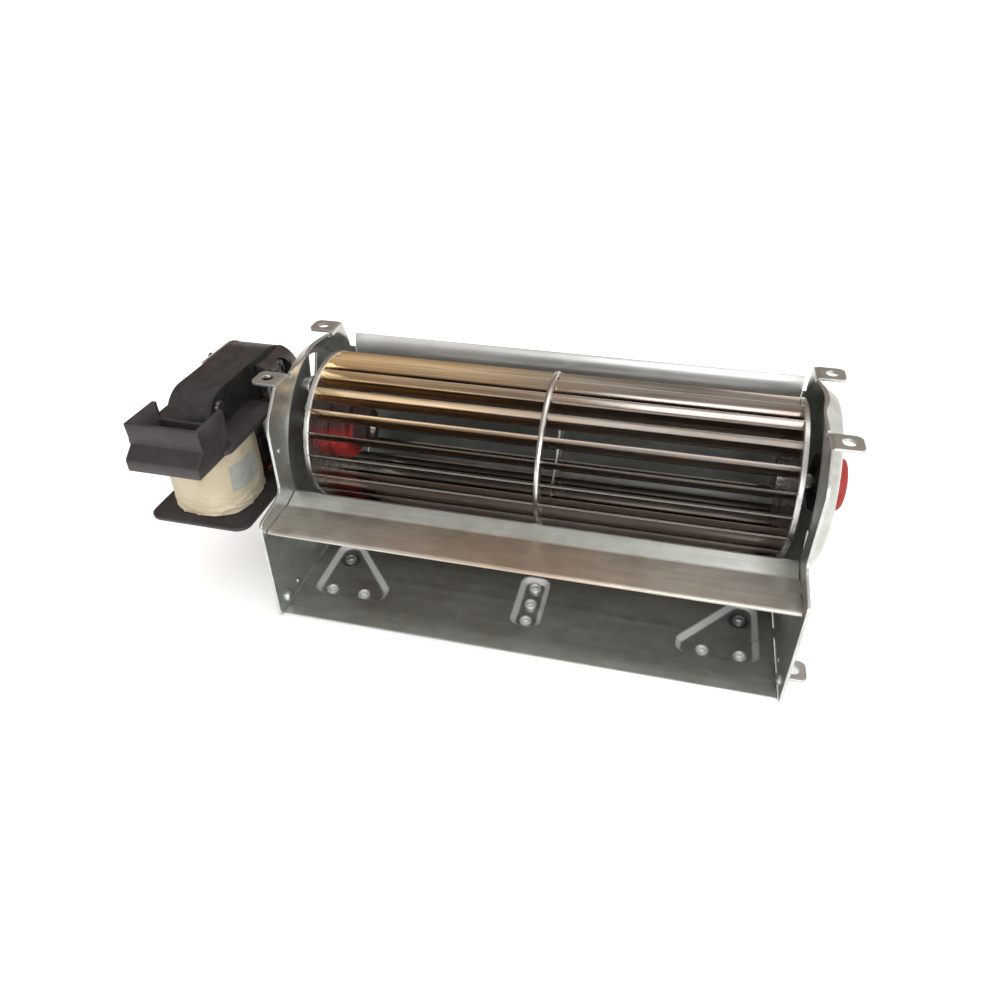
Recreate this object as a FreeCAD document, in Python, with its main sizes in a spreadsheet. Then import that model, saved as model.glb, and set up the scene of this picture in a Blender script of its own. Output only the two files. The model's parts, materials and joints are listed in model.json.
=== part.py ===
import FreeCAD, Part
import math
import os
import Sketcher
from FreeCAD import Placement, Rotation, Vector

# A tangential fan for a refrigerator: a sheet steel scroll between two dished side plates,
# a cross-flow impeller in it, and a shaded-pole motor on the left plate.
# While it is built, X runs along the impeller's axis from the motor to the far bearing,
# Z is up, the outlet faces -Y, and zero is the middle of the impeller.
# At the end every piece is moved so that zero is the bottom centre of the whole fan.

# Driving sizes in millimetres and degrees
SIZES = {
    # Impeller
    "impeller_length": 180.0,
    "impeller_radius": 30.0,
    "blade_count": 21.0,
    "blade_turn": 9.2,
    "blade_gauge": 0.5,
    "blade_inner_radius": 23.6,
    "blade_curve_radius": 7.0,
    "blade_rim_gap": 0.15,
    "blade_slot_clearance": 0.03,
    "disc_gauge": 0.8,
    "disc_rim_width": 2.0,
    "ring_gauge": 0.8,
    "ring_inner_radius": 22.4,
    # Side plates
    "plate_gap": 2.5,
    "plate_gauge": 1.0,
    "plate_front_reach": 46.5,
    "plate_neck_height": -3.8,
    "plate_nose_height": -6.2,
    "outlet_reach": 63.5,
    "plate_margin": 2.4,
    "plate_edge_margin": 1.4,
    "plate_waist_inset": 3.4,
    "plate_waist_drop": 1.2,
    "plate_shoulder_drop": 4.2,
    "dish_mouth_radius": 36.0,
    "dish_mouth_bend": 3.4,
    "dish_floor_radius": 31.0,
    "dish_floor_bend": 1.8,
    "dish_depth": 7.0,
    "window_inner_radius": 19.0,
    "window_outer_radius": 28.4,
    "window_count": 2.0,
    "motor_window_angle": 15.0,
    "motor_window_turn": 75.5,
    "bearing_window_angle": 24.0,
    "bearing_window_turn": 62.0,
    "motor_hole_radius": 12.0,
    # Fixing tabs
    "tab_top": 35.4,
    "tab_length": 9.3,
    "tab_width": 9.4,
    "tab_corner": 2.4,
    "tab_shoulder": 0.5,
    "tab_relief_width": 1.4,
    "tab_relief_depth": 1.8,
    "tab_hole_radius": 2.2,
    "tab_hole_reach": 4.7,
    "rear_tab_position": 17.2,
    "front_tab_position": -31.3,
    "lower_tab_position": -47.2,
    # Scroll and tongue
    "sheet_gauge": 0.8,
    "sheet_end_gap": 0.3,
    "hem_gap": 0.2,
    "hem_depth": 6.0,
    "lip_reach": 31.9,
    "lip_height": 23.2,
    "lip_flare": 2.4,
    "lip_spread": 2.2,
    "lip_bend_radius": 8.0,
    "back_lean": 12.5,
    "back_bend_height": -17.0,
    "back_bend_radius": 42.0,
    "heel_reach": 24.0,
    "heel_radius": 34.0,
    "floor_height": -49.8,
    "floor_front": 62.3,
    "tongue_height": -10.8,
    "tongue_front": 61.0,
    "tongue_fold": 44.4,
    "tongue_bend_radius": 4.0,
    "tongue_crest_reach": 36.4,
    "tongue_crest_height": -8.6,
    "tongue_tail_reach": 31.8,
    "tongue_tail_height": -15.6,
    "lug_length": 5.0,
    "rear_floor_lug": 6.0,
    "front_floor_lug": 30.0,
    "back_lug_drop": 21.0,
    "tongue_lug_inset": 4.0,
    "tongue_lug_pitch": 9.5,
    "lug_reach": 1.2,
    "lug_clearance": 0.15,
    # Pressed feet in the floor
    "foot_depth": 2.2,
    "foot_wall_angle": 50.0,
    "foot_end_gap": 5.5,
    "foot_length": 30.5,
    "foot_rear_width": 9.0,
    "foot_side_depth": 8.0,
    "foot_corner": 5.0,
    "foot_rear_y": -15.0,
    "foot_front_y": -48.0,
    "slot_foot_half_width": 6.2,
    "slot_foot_rear_y": -19.5,
    "foot_hole_radius": 1.6,
    "foot_collar_wall": 0.7,
    "foot_collar_height": 1.3,
    "foot_hole_inset": 7.0,
    "foot_hole_pitch": 13.5,
    "foot_hole_front_y": -43.5,
    "foot_hole_rear_y": -24.4,
    # Coupling and far bearing
    "coupling_radius": 8.0,
    "coupling_length": 14.0,
    "coupling_shoulder_radius": 13.0,
    "coupling_shoulder_length": 7.5,
    "coupling_flange_radius": 9.5,
    "coupling_flange_gauge": 1.6,
    "sleeve_wall": 1.2,
    "stub_radius": 3.0,
    "stub_hub_radius": 6.5,
    "stub_hub_length": 6.0,
    "stub_end_gap": 1.0,
    "running_clearance": 0.03,
    "bush_wall": 2.2,
    "bush_length": 8.0,
    "mount_radius": 9.8,
    "mount_neck_radius": 8.5,
    "mount_lip_radius": 10.6,
    "mount_lip_gauge": 1.8,
    "mount_reach": 7.5,
    "mount_end_wall": 1.0,
    # Motor
    "motor_gap": 7.5,
    "front_bridge_depth": 8.3,
    "rear_bridge_depth": 10.8,
    "bridge_half_height": 28.2,
    "bridge_half_width": 10.0,
    "front_bridge_crown": 7.2,
    "rear_bridge_crown": 9.3,
    "front_bridge_corner": 8.0,
    "rear_bridge_corner": 9.0,
    "bridge_pocket_radius": 15.5,
    "bridge_pocket_depth": 5.5,
    "bridge_boss_radius": 8.5,
    "bridge_boss_height": 2.5,
    "stack_depth": 17.2,
    "stack_half_height": 30.5,
    "stack_front": 45.5,
    "stack_rear": 26.0,
    "stack_front_corner": 11.8,
    "stack_rear_corner": 27.5,
    "leg_depth": 17.0,
    "window_half_height": 17.7,
    "window_depth": 12.0,
    "rotor_radius": 12.5,
    "rotor_gap": 0.4,
    "rotor_ring_length": 2.0,
    "motor_shaft_radius": 2.5,
    "motor_bush_wall": 3.0,
    "motor_bush_length": 7.0,
    "washer_gauge": 0.5,
    "bobbin_clearance": 0.15,
    "bobbin_wall": 1.0,
    "bobbin_half_width": 20.5,
    "bobbin_half_depth": 19.6,
    "bobbin_half_height": 17.5,
    "bobbin_flange_gauge": 2.0,
    "bobbin_corner": 5.0,
    "coil_half_width": 15.3,
    "coil_corner": 12.5,
    "coil_wrap_gauge": 0.35,
    "shroud_height": 16.5,
    "shroud_wall": 1.4,
    "shroud_left": 8.3,
    "shroud_right": 18.9,
    "shroud_front": 70.8,
    "shroud_upper_front": 66.6,
    "shroud_shoulder_foot": 2.5,
    "shroud_shoulder_head": 6.5,
    "shroud_rear": 50.4,
    "shroud_rear_drop": 6.5,
    "terminal_width": 6.3,
    "terminal_gauge": 0.8,
    "terminal_height": 8.5,
    "terminal_pitch": 13.0,
    "terminal_offset": 5.0,
    "screw_radius": 2.0,
    "screw_head_radius": 3.6,
    "screw_head_height": 2.4,
    "screw_hole_clearance": 0.15,
    "screw_head_sink": 2.2,
    "screw_head_play": 0.4,
    "bridge_screw_height": 23.0,
    "mounting_screw_height": 16.5,
    "mounting_screw_grip": 4.6,
    "spacer_radius": 4.3,
    "core_rivet_radius": 1.8,
    "core_rivet_head_radius": 3.0,
    "core_rivet_head_height": 0.9,
    "core_rivet_inset": 8.0,
    "core_rivet_height": 24.1,
    "rear_rivet_position": 14.0,
    "rear_rivet_height": 19.1,
    "shading_ring_gauge": 1.6,
    "shading_ring_height": 14.0,
}

doc = FreeCAD.newDocument("refrigerator_fan")
sheet = doc.addObject("Spreadsheet::Sheet", "sizes")
for row, (alias, number) in enumerate(SIZES.items(), start=1):
    sheet.set(f"A{row}", alias)
    sheet.set(f"B{row}", str(number))
    sheet.setAlias(f"B{row}", alias)
doc.recompute()

sub_parts = []


def size(alias):
    """The number that the sheet holds under an alias."""
    return float(getattr(sheet, alias))


# Sketch and feature helpers

def origin_feature(body, role):
    for feature in body.Origin.OriginFeatures:
        if feature.Role == role:
            return feature
    raise RuntimeError(f"{body.Label} has no {role}")


def new_body(label):
    body = doc.addObject("PartDesign::Body", label)
    body.Label = label
    body.AllowCompound = True
    sub_parts.append(body)
    return body


def new_sketch(body, plane, name, offset="0"):
    """A sketch on one of the body's own origin planes, moved along the plane's normal."""
    sketch = body.newObject("Sketcher::SketchObject", name)
    sketch.AttachmentSupport = (origin_feature(body, plane), [""])
    sketch.MapMode = "FlatFace"
    sketch.setExpression("AttachmentOffset.Base.z", offset)
    return sketch


def rounded(corners):
    """Lines and arcs of a closed outline from (x, y, corner radius) points."""
    count = len(corners)
    starts = []
    ends = []
    middles = []
    for index in range(count):
        before = Vector(*corners[index - 1][:2])
        here = Vector(*corners[index][:2])
        after = Vector(*corners[(index + 1) % count][:2])
        radius = corners[index][2]
        towards = (before - here).normalize()
        onwards = (after - here).normalize()
        half = towards.getAngle(onwards) / 2.0
        if radius <= 0 or abs(half - math.pi / 2) < 1e-6:
            starts.append(here)
            ends.append(here)
            middles.append(None)
            continue
        reach = radius / math.tan(half)
        centre = here + (towards + onwards).normalize() * (radius / math.sin(half))
        starts.append(here + towards * reach)
        ends.append(here + onwards * reach)
        middles.append(centre + (here - centre).normalize() * radius)
    edges = []
    for index in range(count):
        if middles[index] is not None:
            edges.append(Part.Arc(starts[index], middles[index], ends[index]))
        following = (index + 1) % count
        if (starts[following] - ends[index]).Length > 1e-6:
            edges.append(Part.LineSegment(ends[index], starts[following]))
    return edges


def draw(sketch, edges):
    """Adds a closed outline to a sketch and ties the ends of its edges together."""
    first = sketch.GeometryCount
    sketch.addGeometry(edges, False)
    count = len(edges)
    ties = []
    for index in range(count):
        one = first + index
        other = first + (index + 1) % count
        for end in (1, 2):
            for start in (1, 2):
                gap = sketch.getPoint(one, end) - sketch.getPoint(other, start)
                if gap.Length < 1e-5 and one != other:
                    ties.append(Sketcher.Constraint("Coincident", one, end, other, start))
    sketch.addConstraint(ties)


def draw_circle(sketch, across, up, radius):
    """A circle whose centre and radius are expressions on the sheet."""
    here = Vector(0, 0, 0)
    index = sketch.addGeometry(Part.Circle(here, Vector(0, 0, 1), 1.0), False)
    place = sketch.addConstraint(Sketcher.Constraint("DistanceX", index, 3, 1.0))
    sketch.setExpression(f"Constraints[{place}]", across)
    place = sketch.addConstraint(Sketcher.Constraint("DistanceY", index, 3, 1.0))
    sketch.setExpression(f"Constraints[{place}]", up)
    place = sketch.addConstraint(Sketcher.Constraint("Radius", index, 1.0))
    sketch.setExpression(f"Constraints[{place}]", radius)
    return index


def add_pad(body, sketch, length, reverse=False, taper=None):
    pad = body.newObject("PartDesign::Pad", "Pad")
    pad.Profile = sketch
    pad.setExpression("Length", length)
    pad.Reversed = reverse
    if taper is not None:
        pad.setExpression("TaperAngle", taper)
    doc.recompute()
    return pad


def volume_of(body):
    return body.Shape.Volume


def add_pocket(body, sketch, length, reverse=False, taper=None):
    """Cuts along the sketch's normal, or against it when reverse is set."""
    before = volume_of(body)
    pocket = body.newObject("PartDesign::Pocket", "Pocket")
    pocket.Profile = sketch
    pocket.setExpression("Length", length)
    pocket.Reversed = not reverse
    if taper is not None:
        pocket.setExpression("TaperAngle", taper)
    doc.recompute()
    if volume_of(body) > before - 1e-6:
        raise RuntimeError(f"{body.Label}: {sketch.Label} cuts nothing")
    return pocket


def add_turned(body, corners, name="Profile"):
    """Turns an outline given as (x, radius, corner radius) points about the fan's axis."""
    sketch = new_sketch(body, "XZ_Plane", name)
    draw(sketch, rounded(corners))
    turn = body.newObject("PartDesign::Revolution", "Turn")
    turn.Profile = sketch
    turn.ReferenceAxis = (sketch, ["H_Axis"])
    turn.Angle = 360
    doc.recompute()
    return turn


def add_polar(body, feature, count, role="X_Axis"):
    pattern = body.newObject("PartDesign::PolarPattern", "PolarPattern")
    pattern.Originals = [feature]
    pattern.Axis = (origin_feature(body, role), [""])
    pattern.Angle = 360
    pattern.setExpression("Occurrences", count)
    body.Tip = pattern
    doc.recompute()
    return pattern


def rectangle(left, bottom, right, top, radius=0.0):
    return rounded([(left, bottom, radius), (right, bottom, radius),
                    (right, top, radius), (left, top, radius)])


def sheet_outline(path, gauge):
    """The section of a folded sheet: the path itself and the same path moved to its left.

    Each point of the path is (x, y, radius of the path's own bend there).
    """
    points = [Vector(x, y) for x, y, _ in path]
    directions = []
    for index in range(len(points) - 1):
        directions.append((points[index + 1] - points[index]).normalize())
    moved = []
    for index, point in enumerate(points):
        before = directions[max(index - 1, 0)]
        after = directions[min(index, len(directions) - 1)]
        left_before = Vector(-before.y, before.x)
        left_after = Vector(-after.y, after.x)
        middle = left_before + left_after
        middle.normalize()
        shift = middle * (gauge / middle.dot(left_after))
        turn = before.x * after.y - before.y * after.x
        radius = path[index][2]
        if radius > 0:
            radius = radius - gauge if turn > 0 else radius + gauge
        moved.append((point.x + shift.x, point.y + shift.y, radius))
    return rounded(list(path) + moved[::-1])


def turned(point, degrees):
    angle = math.radians(degrees)
    across = point[0] * math.cos(angle) - point[1] * math.sin(angle)
    up = point[0] * math.sin(angle) + point[1] * math.cos(angle)
    return across, up


def inset(corners, distance):
    """The corners of a convex outline with every side moved inwards."""
    count = len(corners)
    area = 0.0
    for index in range(count):
        one = corners[index]
        two = corners[(index + 1) % count]
        area += one[0] * two[1] - two[0] * one[1]
    hand = 1 if area > 0 else -1
    moved = []
    for index in range(count):
        here = Vector(*corners[index][:2])
        before = (here - Vector(*corners[index - 1][:2])).normalize()
        after = (Vector(*corners[(index + 1) % count][:2]) - here).normalize()
        inward_before = Vector(-before.y, before.x) * hand
        inward_after = Vector(-after.y, after.x) * hand
        middle = (inward_before + inward_after).normalize()
        shift = middle * (distance / middle.dot(inward_after))
        moved.append((here.x + shift.x, here.y + shift.y, max(corners[index][2] - distance, 0.4)))
    return moved


def loft_between(body, first, first_height, second, second_height, cut=False):
    """A tapered wall-sided solid between two level outlines, added or cut away."""
    before = volume_of(body)
    sketches = []
    for corners, height in ((first, first_height), (second, second_height)):
        sketch = new_sketch(body, "XY_Plane", "LoftSection", height)
        draw(sketch, rounded(corners))
        sketches.append(sketch)
    kind = "PartDesign::SubtractiveLoft" if cut else "PartDesign::AdditiveLoft"
    loft = body.newObject(kind, "Loft")
    loft.Profile = sketches[0]
    loft.Sections = [sketches[1]]
    loft.Ruled = True
    doc.recompute()
    if cut and volume_of(body) > before - 1e-6:
        raise RuntimeError(f"{body.Label}: loft cuts nothing")


# Places along the axis, worked out from the driving sizes

def impeller_half():
    return size("impeller_length") / 2


def plate_inside():
    return impeller_half() + size("plate_gap")


def dish_outside():
    return plate_inside() + size("dish_depth") + size("plate_gauge")


def bridge_face():
    """Outer face of the front bearing bridge, the one turned to the side plate."""
    return -(dish_outside() + size("motor_gap"))


def stack_near():
    return bridge_face() - size("front_bridge_depth")


def stack_far():
    return stack_near() - size("stack_depth")


def rear_bridge_face():
    return stack_far() - size("rear_bridge_depth")


def web_outside():
    """Outer face of an impeller end disc's web."""
    return impeller_half() - size("disc_rim_width") + size("disc_gauge")


PLATE_INSIDE = "sizes.impeller_length / 2 + sizes.plate_gap"
WEB_INSIDE = "sizes.impeller_length / 2 - sizes.disc_rim_width"


# Impeller

def blade_section(clearance=0.0):
    """The first blade's section: radial at its inner edge, leaning back at the rim."""
    inner = size("blade_inner_radius")
    curve = size("blade_curve_radius")
    rim = size("impeller_radius")
    half = size("blade_gauge") / 2 + clearance
    sweep = 0.0
    reach = rim - size("blade_rim_gap")
    while math.hypot(inner + curve * math.sin(sweep), curve * (1 - math.cos(sweep))) < reach:
        sweep += 0.002
    spare = clearance / curve
    centre = Vector(*turned((inner, -curve), size("blade_turn")))
    axis = Vector(0, 0, 1)
    root_angle = math.pi / 2 + math.radians(size("blade_turn"))
    low = root_angle - sweep - spare
    high = root_angle + spare
    outer_arc = Part.ArcOfCircle(Part.Circle(centre, axis, curve + half), low, high)
    inner_arc = Part.ArcOfCircle(Part.Circle(centre, axis, curve - half), low, high)
    tip = Part.LineSegment(inner_arc.StartPoint, outer_arc.StartPoint)
    root = Part.LineSegment(outer_arc.EndPoint, inner_arc.EndPoint)
    return [outer_arc, root, inner_arc, tip]


def impeller_blades():
    body = new_body("impeller_blades")
    reach = "sizes.impeller_length / 2 - sizes.disc_rim_width + sizes.disc_gauge"
    sketch = new_sketch(body, "YZ_Plane", "BladeSection", f"-({reach})")
    draw(sketch, blade_section())
    pad = add_pad(body, sketch, f"2 * ({reach})")
    add_polar(body, pad, "sizes.blade_count")


def cut_blade_slots(body, offset, length):
    sketch = new_sketch(body, "YZ_Plane", "BladeSlot", offset)
    draw(sketch, blade_section(size("blade_slot_clearance")))
    pocket = add_pocket(body, sketch, length)
    add_polar(body, pocket, "sizes.blade_count")


def end_disc(label, side, hole):
    """A pressed disc with a turned rim, slotted for the blades."""
    body = new_body(label)
    rim = size("impeller_radius")
    gauge = size("disc_gauge")
    inside = side * (impeller_half() - size("disc_rim_width"))
    outside = side * (impeller_half() - size("disc_rim_width") + gauge)
    end = side * impeller_half()
    add_turned(body, [
        (inside, hole, 0), (inside, rim, 0.6), (end, rim, 0),
        (end, rim - gauge * 0.6, 0), (outside, rim - gauge * 0.6, 0), (outside, hole, 0)])
    start = f"{side} * ({WEB_INSIDE})"
    if side < 0:
        start = f"{start} - sizes.disc_gauge"
    cut_blade_slots(body, start, "sizes.disc_gauge")


def middle_ring():
    body = new_body("middle_ring")
    half = size("ring_gauge") / 2
    rim = size("impeller_radius") + 0.5
    inner = size("ring_inner_radius")
    add_turned(body, [(-half, inner, 0), (half, inner, 0), (half, rim, 0.25), (-half, rim, 0.25)])
    cut_blade_slots(body, "-sizes.ring_gauge / 2", "sizes.ring_gauge")


def rubber_coupling():
    """Soft hub that carries the motor end of the impeller on the motor shaft."""
    body = new_body("rubber_coupling")
    bore = size("motor_shaft_radius") + size("sleeve_wall")
    outside = -web_outside()
    inside = outside + size("disc_gauge")
    tip = inside + size("coupling_length")
    shoulder = inside + size("coupling_shoulder_length")
    flange = outside - size("coupling_flange_gauge")
    neck = size("coupling_radius") - 0.6
    add_turned(body, [
        (flange, bore, 0), (flange, size("coupling_flange_radius"), 0.6),
        (outside, size("coupling_flange_radius"), 0), (outside, neck, 0),
        (inside, neck, 0), (inside, size("coupling_shoulder_radius"), 1.0),
        (shoulder, size("coupling_shoulder_radius"), 2.0),
        (shoulder, size("coupling_radius") + 0.4, 1.5), (tip, size("coupling_radius"), 1.2),
        (tip, bore, 0)])


def coupling_sleeve():
    body = new_body("coupling_sleeve")
    bore = size("motor_shaft_radius")
    start = -web_outside() - size("coupling_flange_gauge") - 1.5
    tip = -web_outside() + size("disc_gauge") + size("coupling_length")
    outer = bore + size("sleeve_wall")
    add_turned(body, [(start, bore, 0), (tip, bore, 0), (tip, outer, 0), (start, outer, 0.3)])


def stub_hub():
    """Steel bush riveted in the far end disc, which holds the stub shaft."""
    body = new_body("stub_hub")
    bore = size("stub_radius")
    inside = web_outside() - size("disc_gauge")
    start = inside - size("stub_hub_length") + 2.0
    add_turned(body, [
        (start, bore, 0), (start, size("stub_hub_radius"), 0.5),
        (inside, size("stub_hub_radius"), 0), (inside, size("stub_hub_radius") - 1.5, 0),
        (web_outside(), size("stub_hub_radius") - 1.5, 0),
        (web_outside(), size("stub_hub_radius") - 0.5, 0),
        (web_outside() + 1.2, size("stub_hub_radius") - 0.5, 0.4),
        (web_outside() + 1.2, bore, 0)])


def mount_face():
    """Outer end of the rubber mount of the far bearing."""
    return dish_outside() + size("mount_reach")


def stub_shaft():
    body = new_body("stub_shaft")
    start = web_outside() - size("disc_gauge") - size("stub_hub_length") + 2.0
    end = mount_face() - size("mount_end_wall") - size("stub_end_gap")
    radius = size("stub_radius")
    add_turned(body, [(start, 0, 0), (end, 0, 0), (end, radius, 0.4), (start, radius, 0.4)])


# Far bearing

def bush_end():
    return mount_face() - size("mount_end_wall")


def end_bearing():
    body = new_body("end_bearing")
    bore = size("stub_radius") + size("running_clearance")
    outer = size("stub_radius") + size("bush_wall")
    start = bush_end() - size("bush_length")
    add_turned(body, [(start, bore, 0), (bush_end(), bore, 0), (bush_end(), outer, 0.5),
                      (start, outer, 0.5)])


def bearing_mount():
    """Silicone mount buttoned into the dish, with the sintered bush inside it."""
    body = new_body("bearing_mount")
    seat = size("stub_radius") + size("bush_wall")
    lip_bore = size("stub_radius") + 1.0
    outside = dish_outside()
    inside = outside - size("plate_gauge")
    lip = inside - size("mount_lip_gauge")
    bush_start = bush_end() - size("bush_length")
    add_turned(body, [
        (lip, seat + 0.6, 0), (lip, size("mount_lip_radius"), 0.6),
        (inside, size("mount_lip_radius"), 0), (inside, size("mount_neck_radius"), 0),
        (outside, size("mount_neck_radius"), 0), (outside, size("mount_radius"), 0.5),
        (mount_face(), size("mount_radius"), 1.8), (mount_face(), lip_bore, 0),
        (bush_end(), lip_bore, 0), (bush_end(), seat, 0), (bush_start, seat, 0),
        (bush_start, seat + 0.6, 0)])


# Scroll, tongue and side plates

def scroll_path():
    """Air side of the scroll's sheet, from the top lip down the back and along the floor."""
    lean = math.radians(size("back_lean"))
    lip_y = size("lip_reach")
    lip_z = size("lip_height")
    drop = lip_z - size("back_bend_height")
    floor = size("floor_height")
    fold = size("sheet_gauge") + size("hem_gap") / 2
    front = -size("floor_front")
    return [
        (lip_y + size("lip_spread"), lip_z + size("lip_flare"), 0),
        (lip_y, lip_z - 1.0, size("lip_bend_radius")),
        (lip_y + drop * math.tan(lean), size("back_bend_height"), size("back_bend_radius")),
        (size("heel_reach"), floor, size("heel_radius")),
        (front, floor, fold),
        (front, floor - 2 * fold, fold),
        (front + size("hem_depth"), floor - 2 * fold, 0)]


def tongue_path():
    """Top side of the tongue, from its hidden tail over the crest to the folded front edge."""
    height = size("tongue_height")
    fold = size("sheet_gauge") + size("hem_gap") / 2
    front = -size("tongue_front")
    return [
        (-size("tongue_tail_reach"), size("tongue_tail_height"), 0),
        (-size("tongue_crest_reach"), size("tongue_crest_height"), 1.6),
        (-size("tongue_fold"), height, size("tongue_bend_radius")),
        (front, height, fold),
        (front, height - 2 * fold, fold),
        (front + size("hem_depth"), height - 2 * fold, 0)]


def scroll_lugs(clearance=0.0):
    """Outlines of the lugs that pass through the side plates, as lists of edges."""
    half = size("lug_length") / 2 + clearance
    gauge = size("sheet_gauge")
    floor = size("floor_height")
    outlines = []
    for middle in (-size("front_floor_lug"), -size("rear_floor_lug")):
        outlines.append(rectangle(middle - half, floor - gauge - clearance,
                                  middle + half, floor + clearance))
    lean = size("back_lean")
    drop = size("back_lug_drop")
    foot_y = size("lip_reach") + drop * math.tan(math.radians(lean))
    corners = []
    for across, up in ((-clearance, -half), (gauge + clearance, -half),
                       (gauge + clearance, half), (-clearance, half)):
        shift_y, shift_z = turned((across, up), lean)
        corners.append((foot_y + shift_y, size("lip_height") - drop + shift_z, 0))
    outlines.append(rounded(corners))
    return outlines


def tongue_lugs(clearance=0.0):
    half = size("lug_length") / 2 + clearance
    top = size("tongue_height")
    outlines = []
    front = size("tongue_lug_inset") - size("tongue_front")
    for middle in (front, front + size("tongue_lug_pitch")):
        outlines.append(rectangle(middle - half, top - size("sheet_gauge") - clearance,
                                  middle + half, top + clearance))
    return outlines


def add_lugs(body, outlines):
    """Lugs at both ends of a sheet, long enough to show outside the side plates."""
    length = "sizes.sheet_end_gap + sizes.plate_gauge + sizes.lug_reach"
    for side in (1, -1):
        sketch = new_sketch(body, "YZ_Plane", "Lugs", f"{side} * ({PLATE_INSIDE} - sizes.sheet_end_gap)")
        for outline in outlines:
            draw(sketch, outline)
        add_pad(body, sketch, length, reverse=side < 0)


def foot_outlines():
    """The three pressed feet seen from above: a slot and two rounded triangles."""
    outer = plate_inside() - size("foot_end_gap")
    inner = outer - size("foot_length")
    rear = size("foot_rear_y")
    front = size("foot_front_y")
    corner = size("foot_corner")
    half = size("slot_foot_half_width")
    slot_rear = size("slot_foot_rear_y")
    round_end = half * 0.7
    outlines = [[(-half, front, round_end), (half, front, round_end),
                 (half, slot_rear, round_end), (-half, slot_rear, round_end)]]
    for side in (1, -1):
        outlines.append([
            (side * outer, front, corner), (side * outer, rear, corner * 1.2),
            (side * (outer - size("foot_rear_width")), rear, corner),
            (side * inner, front + size("foot_side_depth"), corner),
            (side * inner, front, corner * 0.9)])
    return outlines


def foot_holes():
    """Centres of the drawn screw holes, as expressions for the sheet."""
    outer = f"({PLATE_INSIDE} - sizes.foot_end_gap - sizes.foot_hole_inset)"
    inner = f"({outer} - sizes.foot_hole_pitch)"
    centres = []
    for side in ("", "-"):
        centres.append((f"{side}{outer}", "sizes.foot_hole_front_y"))
        centres.append((f"{side}{outer}", "sizes.foot_hole_rear_y"))
        centres.append((f"{side}{inner}", "sizes.foot_hole_front_y"))
    middle = "(sizes.foot_hole_front_y + sizes.foot_hole_rear_y) / 2"
    for along in ("sizes.foot_hole_front_y", middle, "sizes.foot_hole_rear_y"):
        centres.append(("0", along))
    return centres


def scroll_housing():
    body = new_body("scroll_housing")
    half = f"{PLATE_INSIDE} - sizes.sheet_end_gap"
    sketch = new_sketch(body, "YZ_Plane", "ScrollSection", f"-({half})")
    draw(sketch, sheet_outline(scroll_path(), size("sheet_gauge")))
    add_pad(body, sketch, f"2 * ({half})")
    slope = math.tan(math.radians(size("foot_wall_angle")))
    walls = slope * size("foot_depth")
    gauge = size("sheet_gauge")
    skin = gauge * 0.5
    overlap = gauge * 0.5
    under = "sizes.floor_height - sizes.sheet_gauge"
    for outline in foot_outlines():
        loft_between(body, inset(outline, -skin - slope * overlap), f"{under} + {overlap}",
                     inset(outline, walls - skin), f"{under} - sizes.foot_depth")
        loft_between(body, inset(outline, -slope * overlap), f"sizes.floor_height + {overlap}",
                     inset(outline, walls), "sizes.floor_height - sizes.foot_depth", cut=True)
    sunk = "sizes.floor_height - sizes.foot_depth"
    sketch = new_sketch(body, "XY_Plane", "Collars", f"{sunk} - sizes.sheet_gauge / 2")
    for across, up in foot_holes():
        draw_circle(sketch, across, up, "sizes.foot_hole_radius + sizes.foot_collar_wall")
    add_pad(body, sketch, "sizes.foot_collar_height + sizes.sheet_gauge / 2")
    sketch = new_sketch(body, "XY_Plane", "ScrewHoles", f"{sunk} - sizes.sheet_gauge - 0.5")
    for across, up in foot_holes():
        draw_circle(sketch, across, up, "sizes.foot_hole_radius")
    add_pocket(body, sketch, "sizes.sheet_gauge + sizes.foot_collar_height + 1")
    add_lugs(body, scroll_lugs())


def vortex_tongue():
    body = new_body("vortex_tongue")
    half = f"{PLATE_INSIDE} - sizes.sheet_end_gap"
    sketch = new_sketch(body, "YZ_Plane", "TongueSection", f"-({half})")
    draw(sketch, sheet_outline(tongue_path(), size("sheet_gauge")))
    add_pad(body, sketch, f"2 * ({half})")
    add_lugs(body, tongue_lugs())


def relief(edge, out):
    """Corners of the small notch beside a top tab's flank; out is 1 where it lies beyond edge."""
    top = size("tab_top") - size("plate_gauge") * 0.4
    low = top - size("tab_relief_depth")
    near = edge + out * size("tab_shoulder")
    far = near + out * size("tab_relief_width")
    bottom = size("tab_relief_width") * 0.4
    return [(near, top, 0), (near, low, bottom), (far, low, bottom), (far, top, 0.3)]


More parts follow.
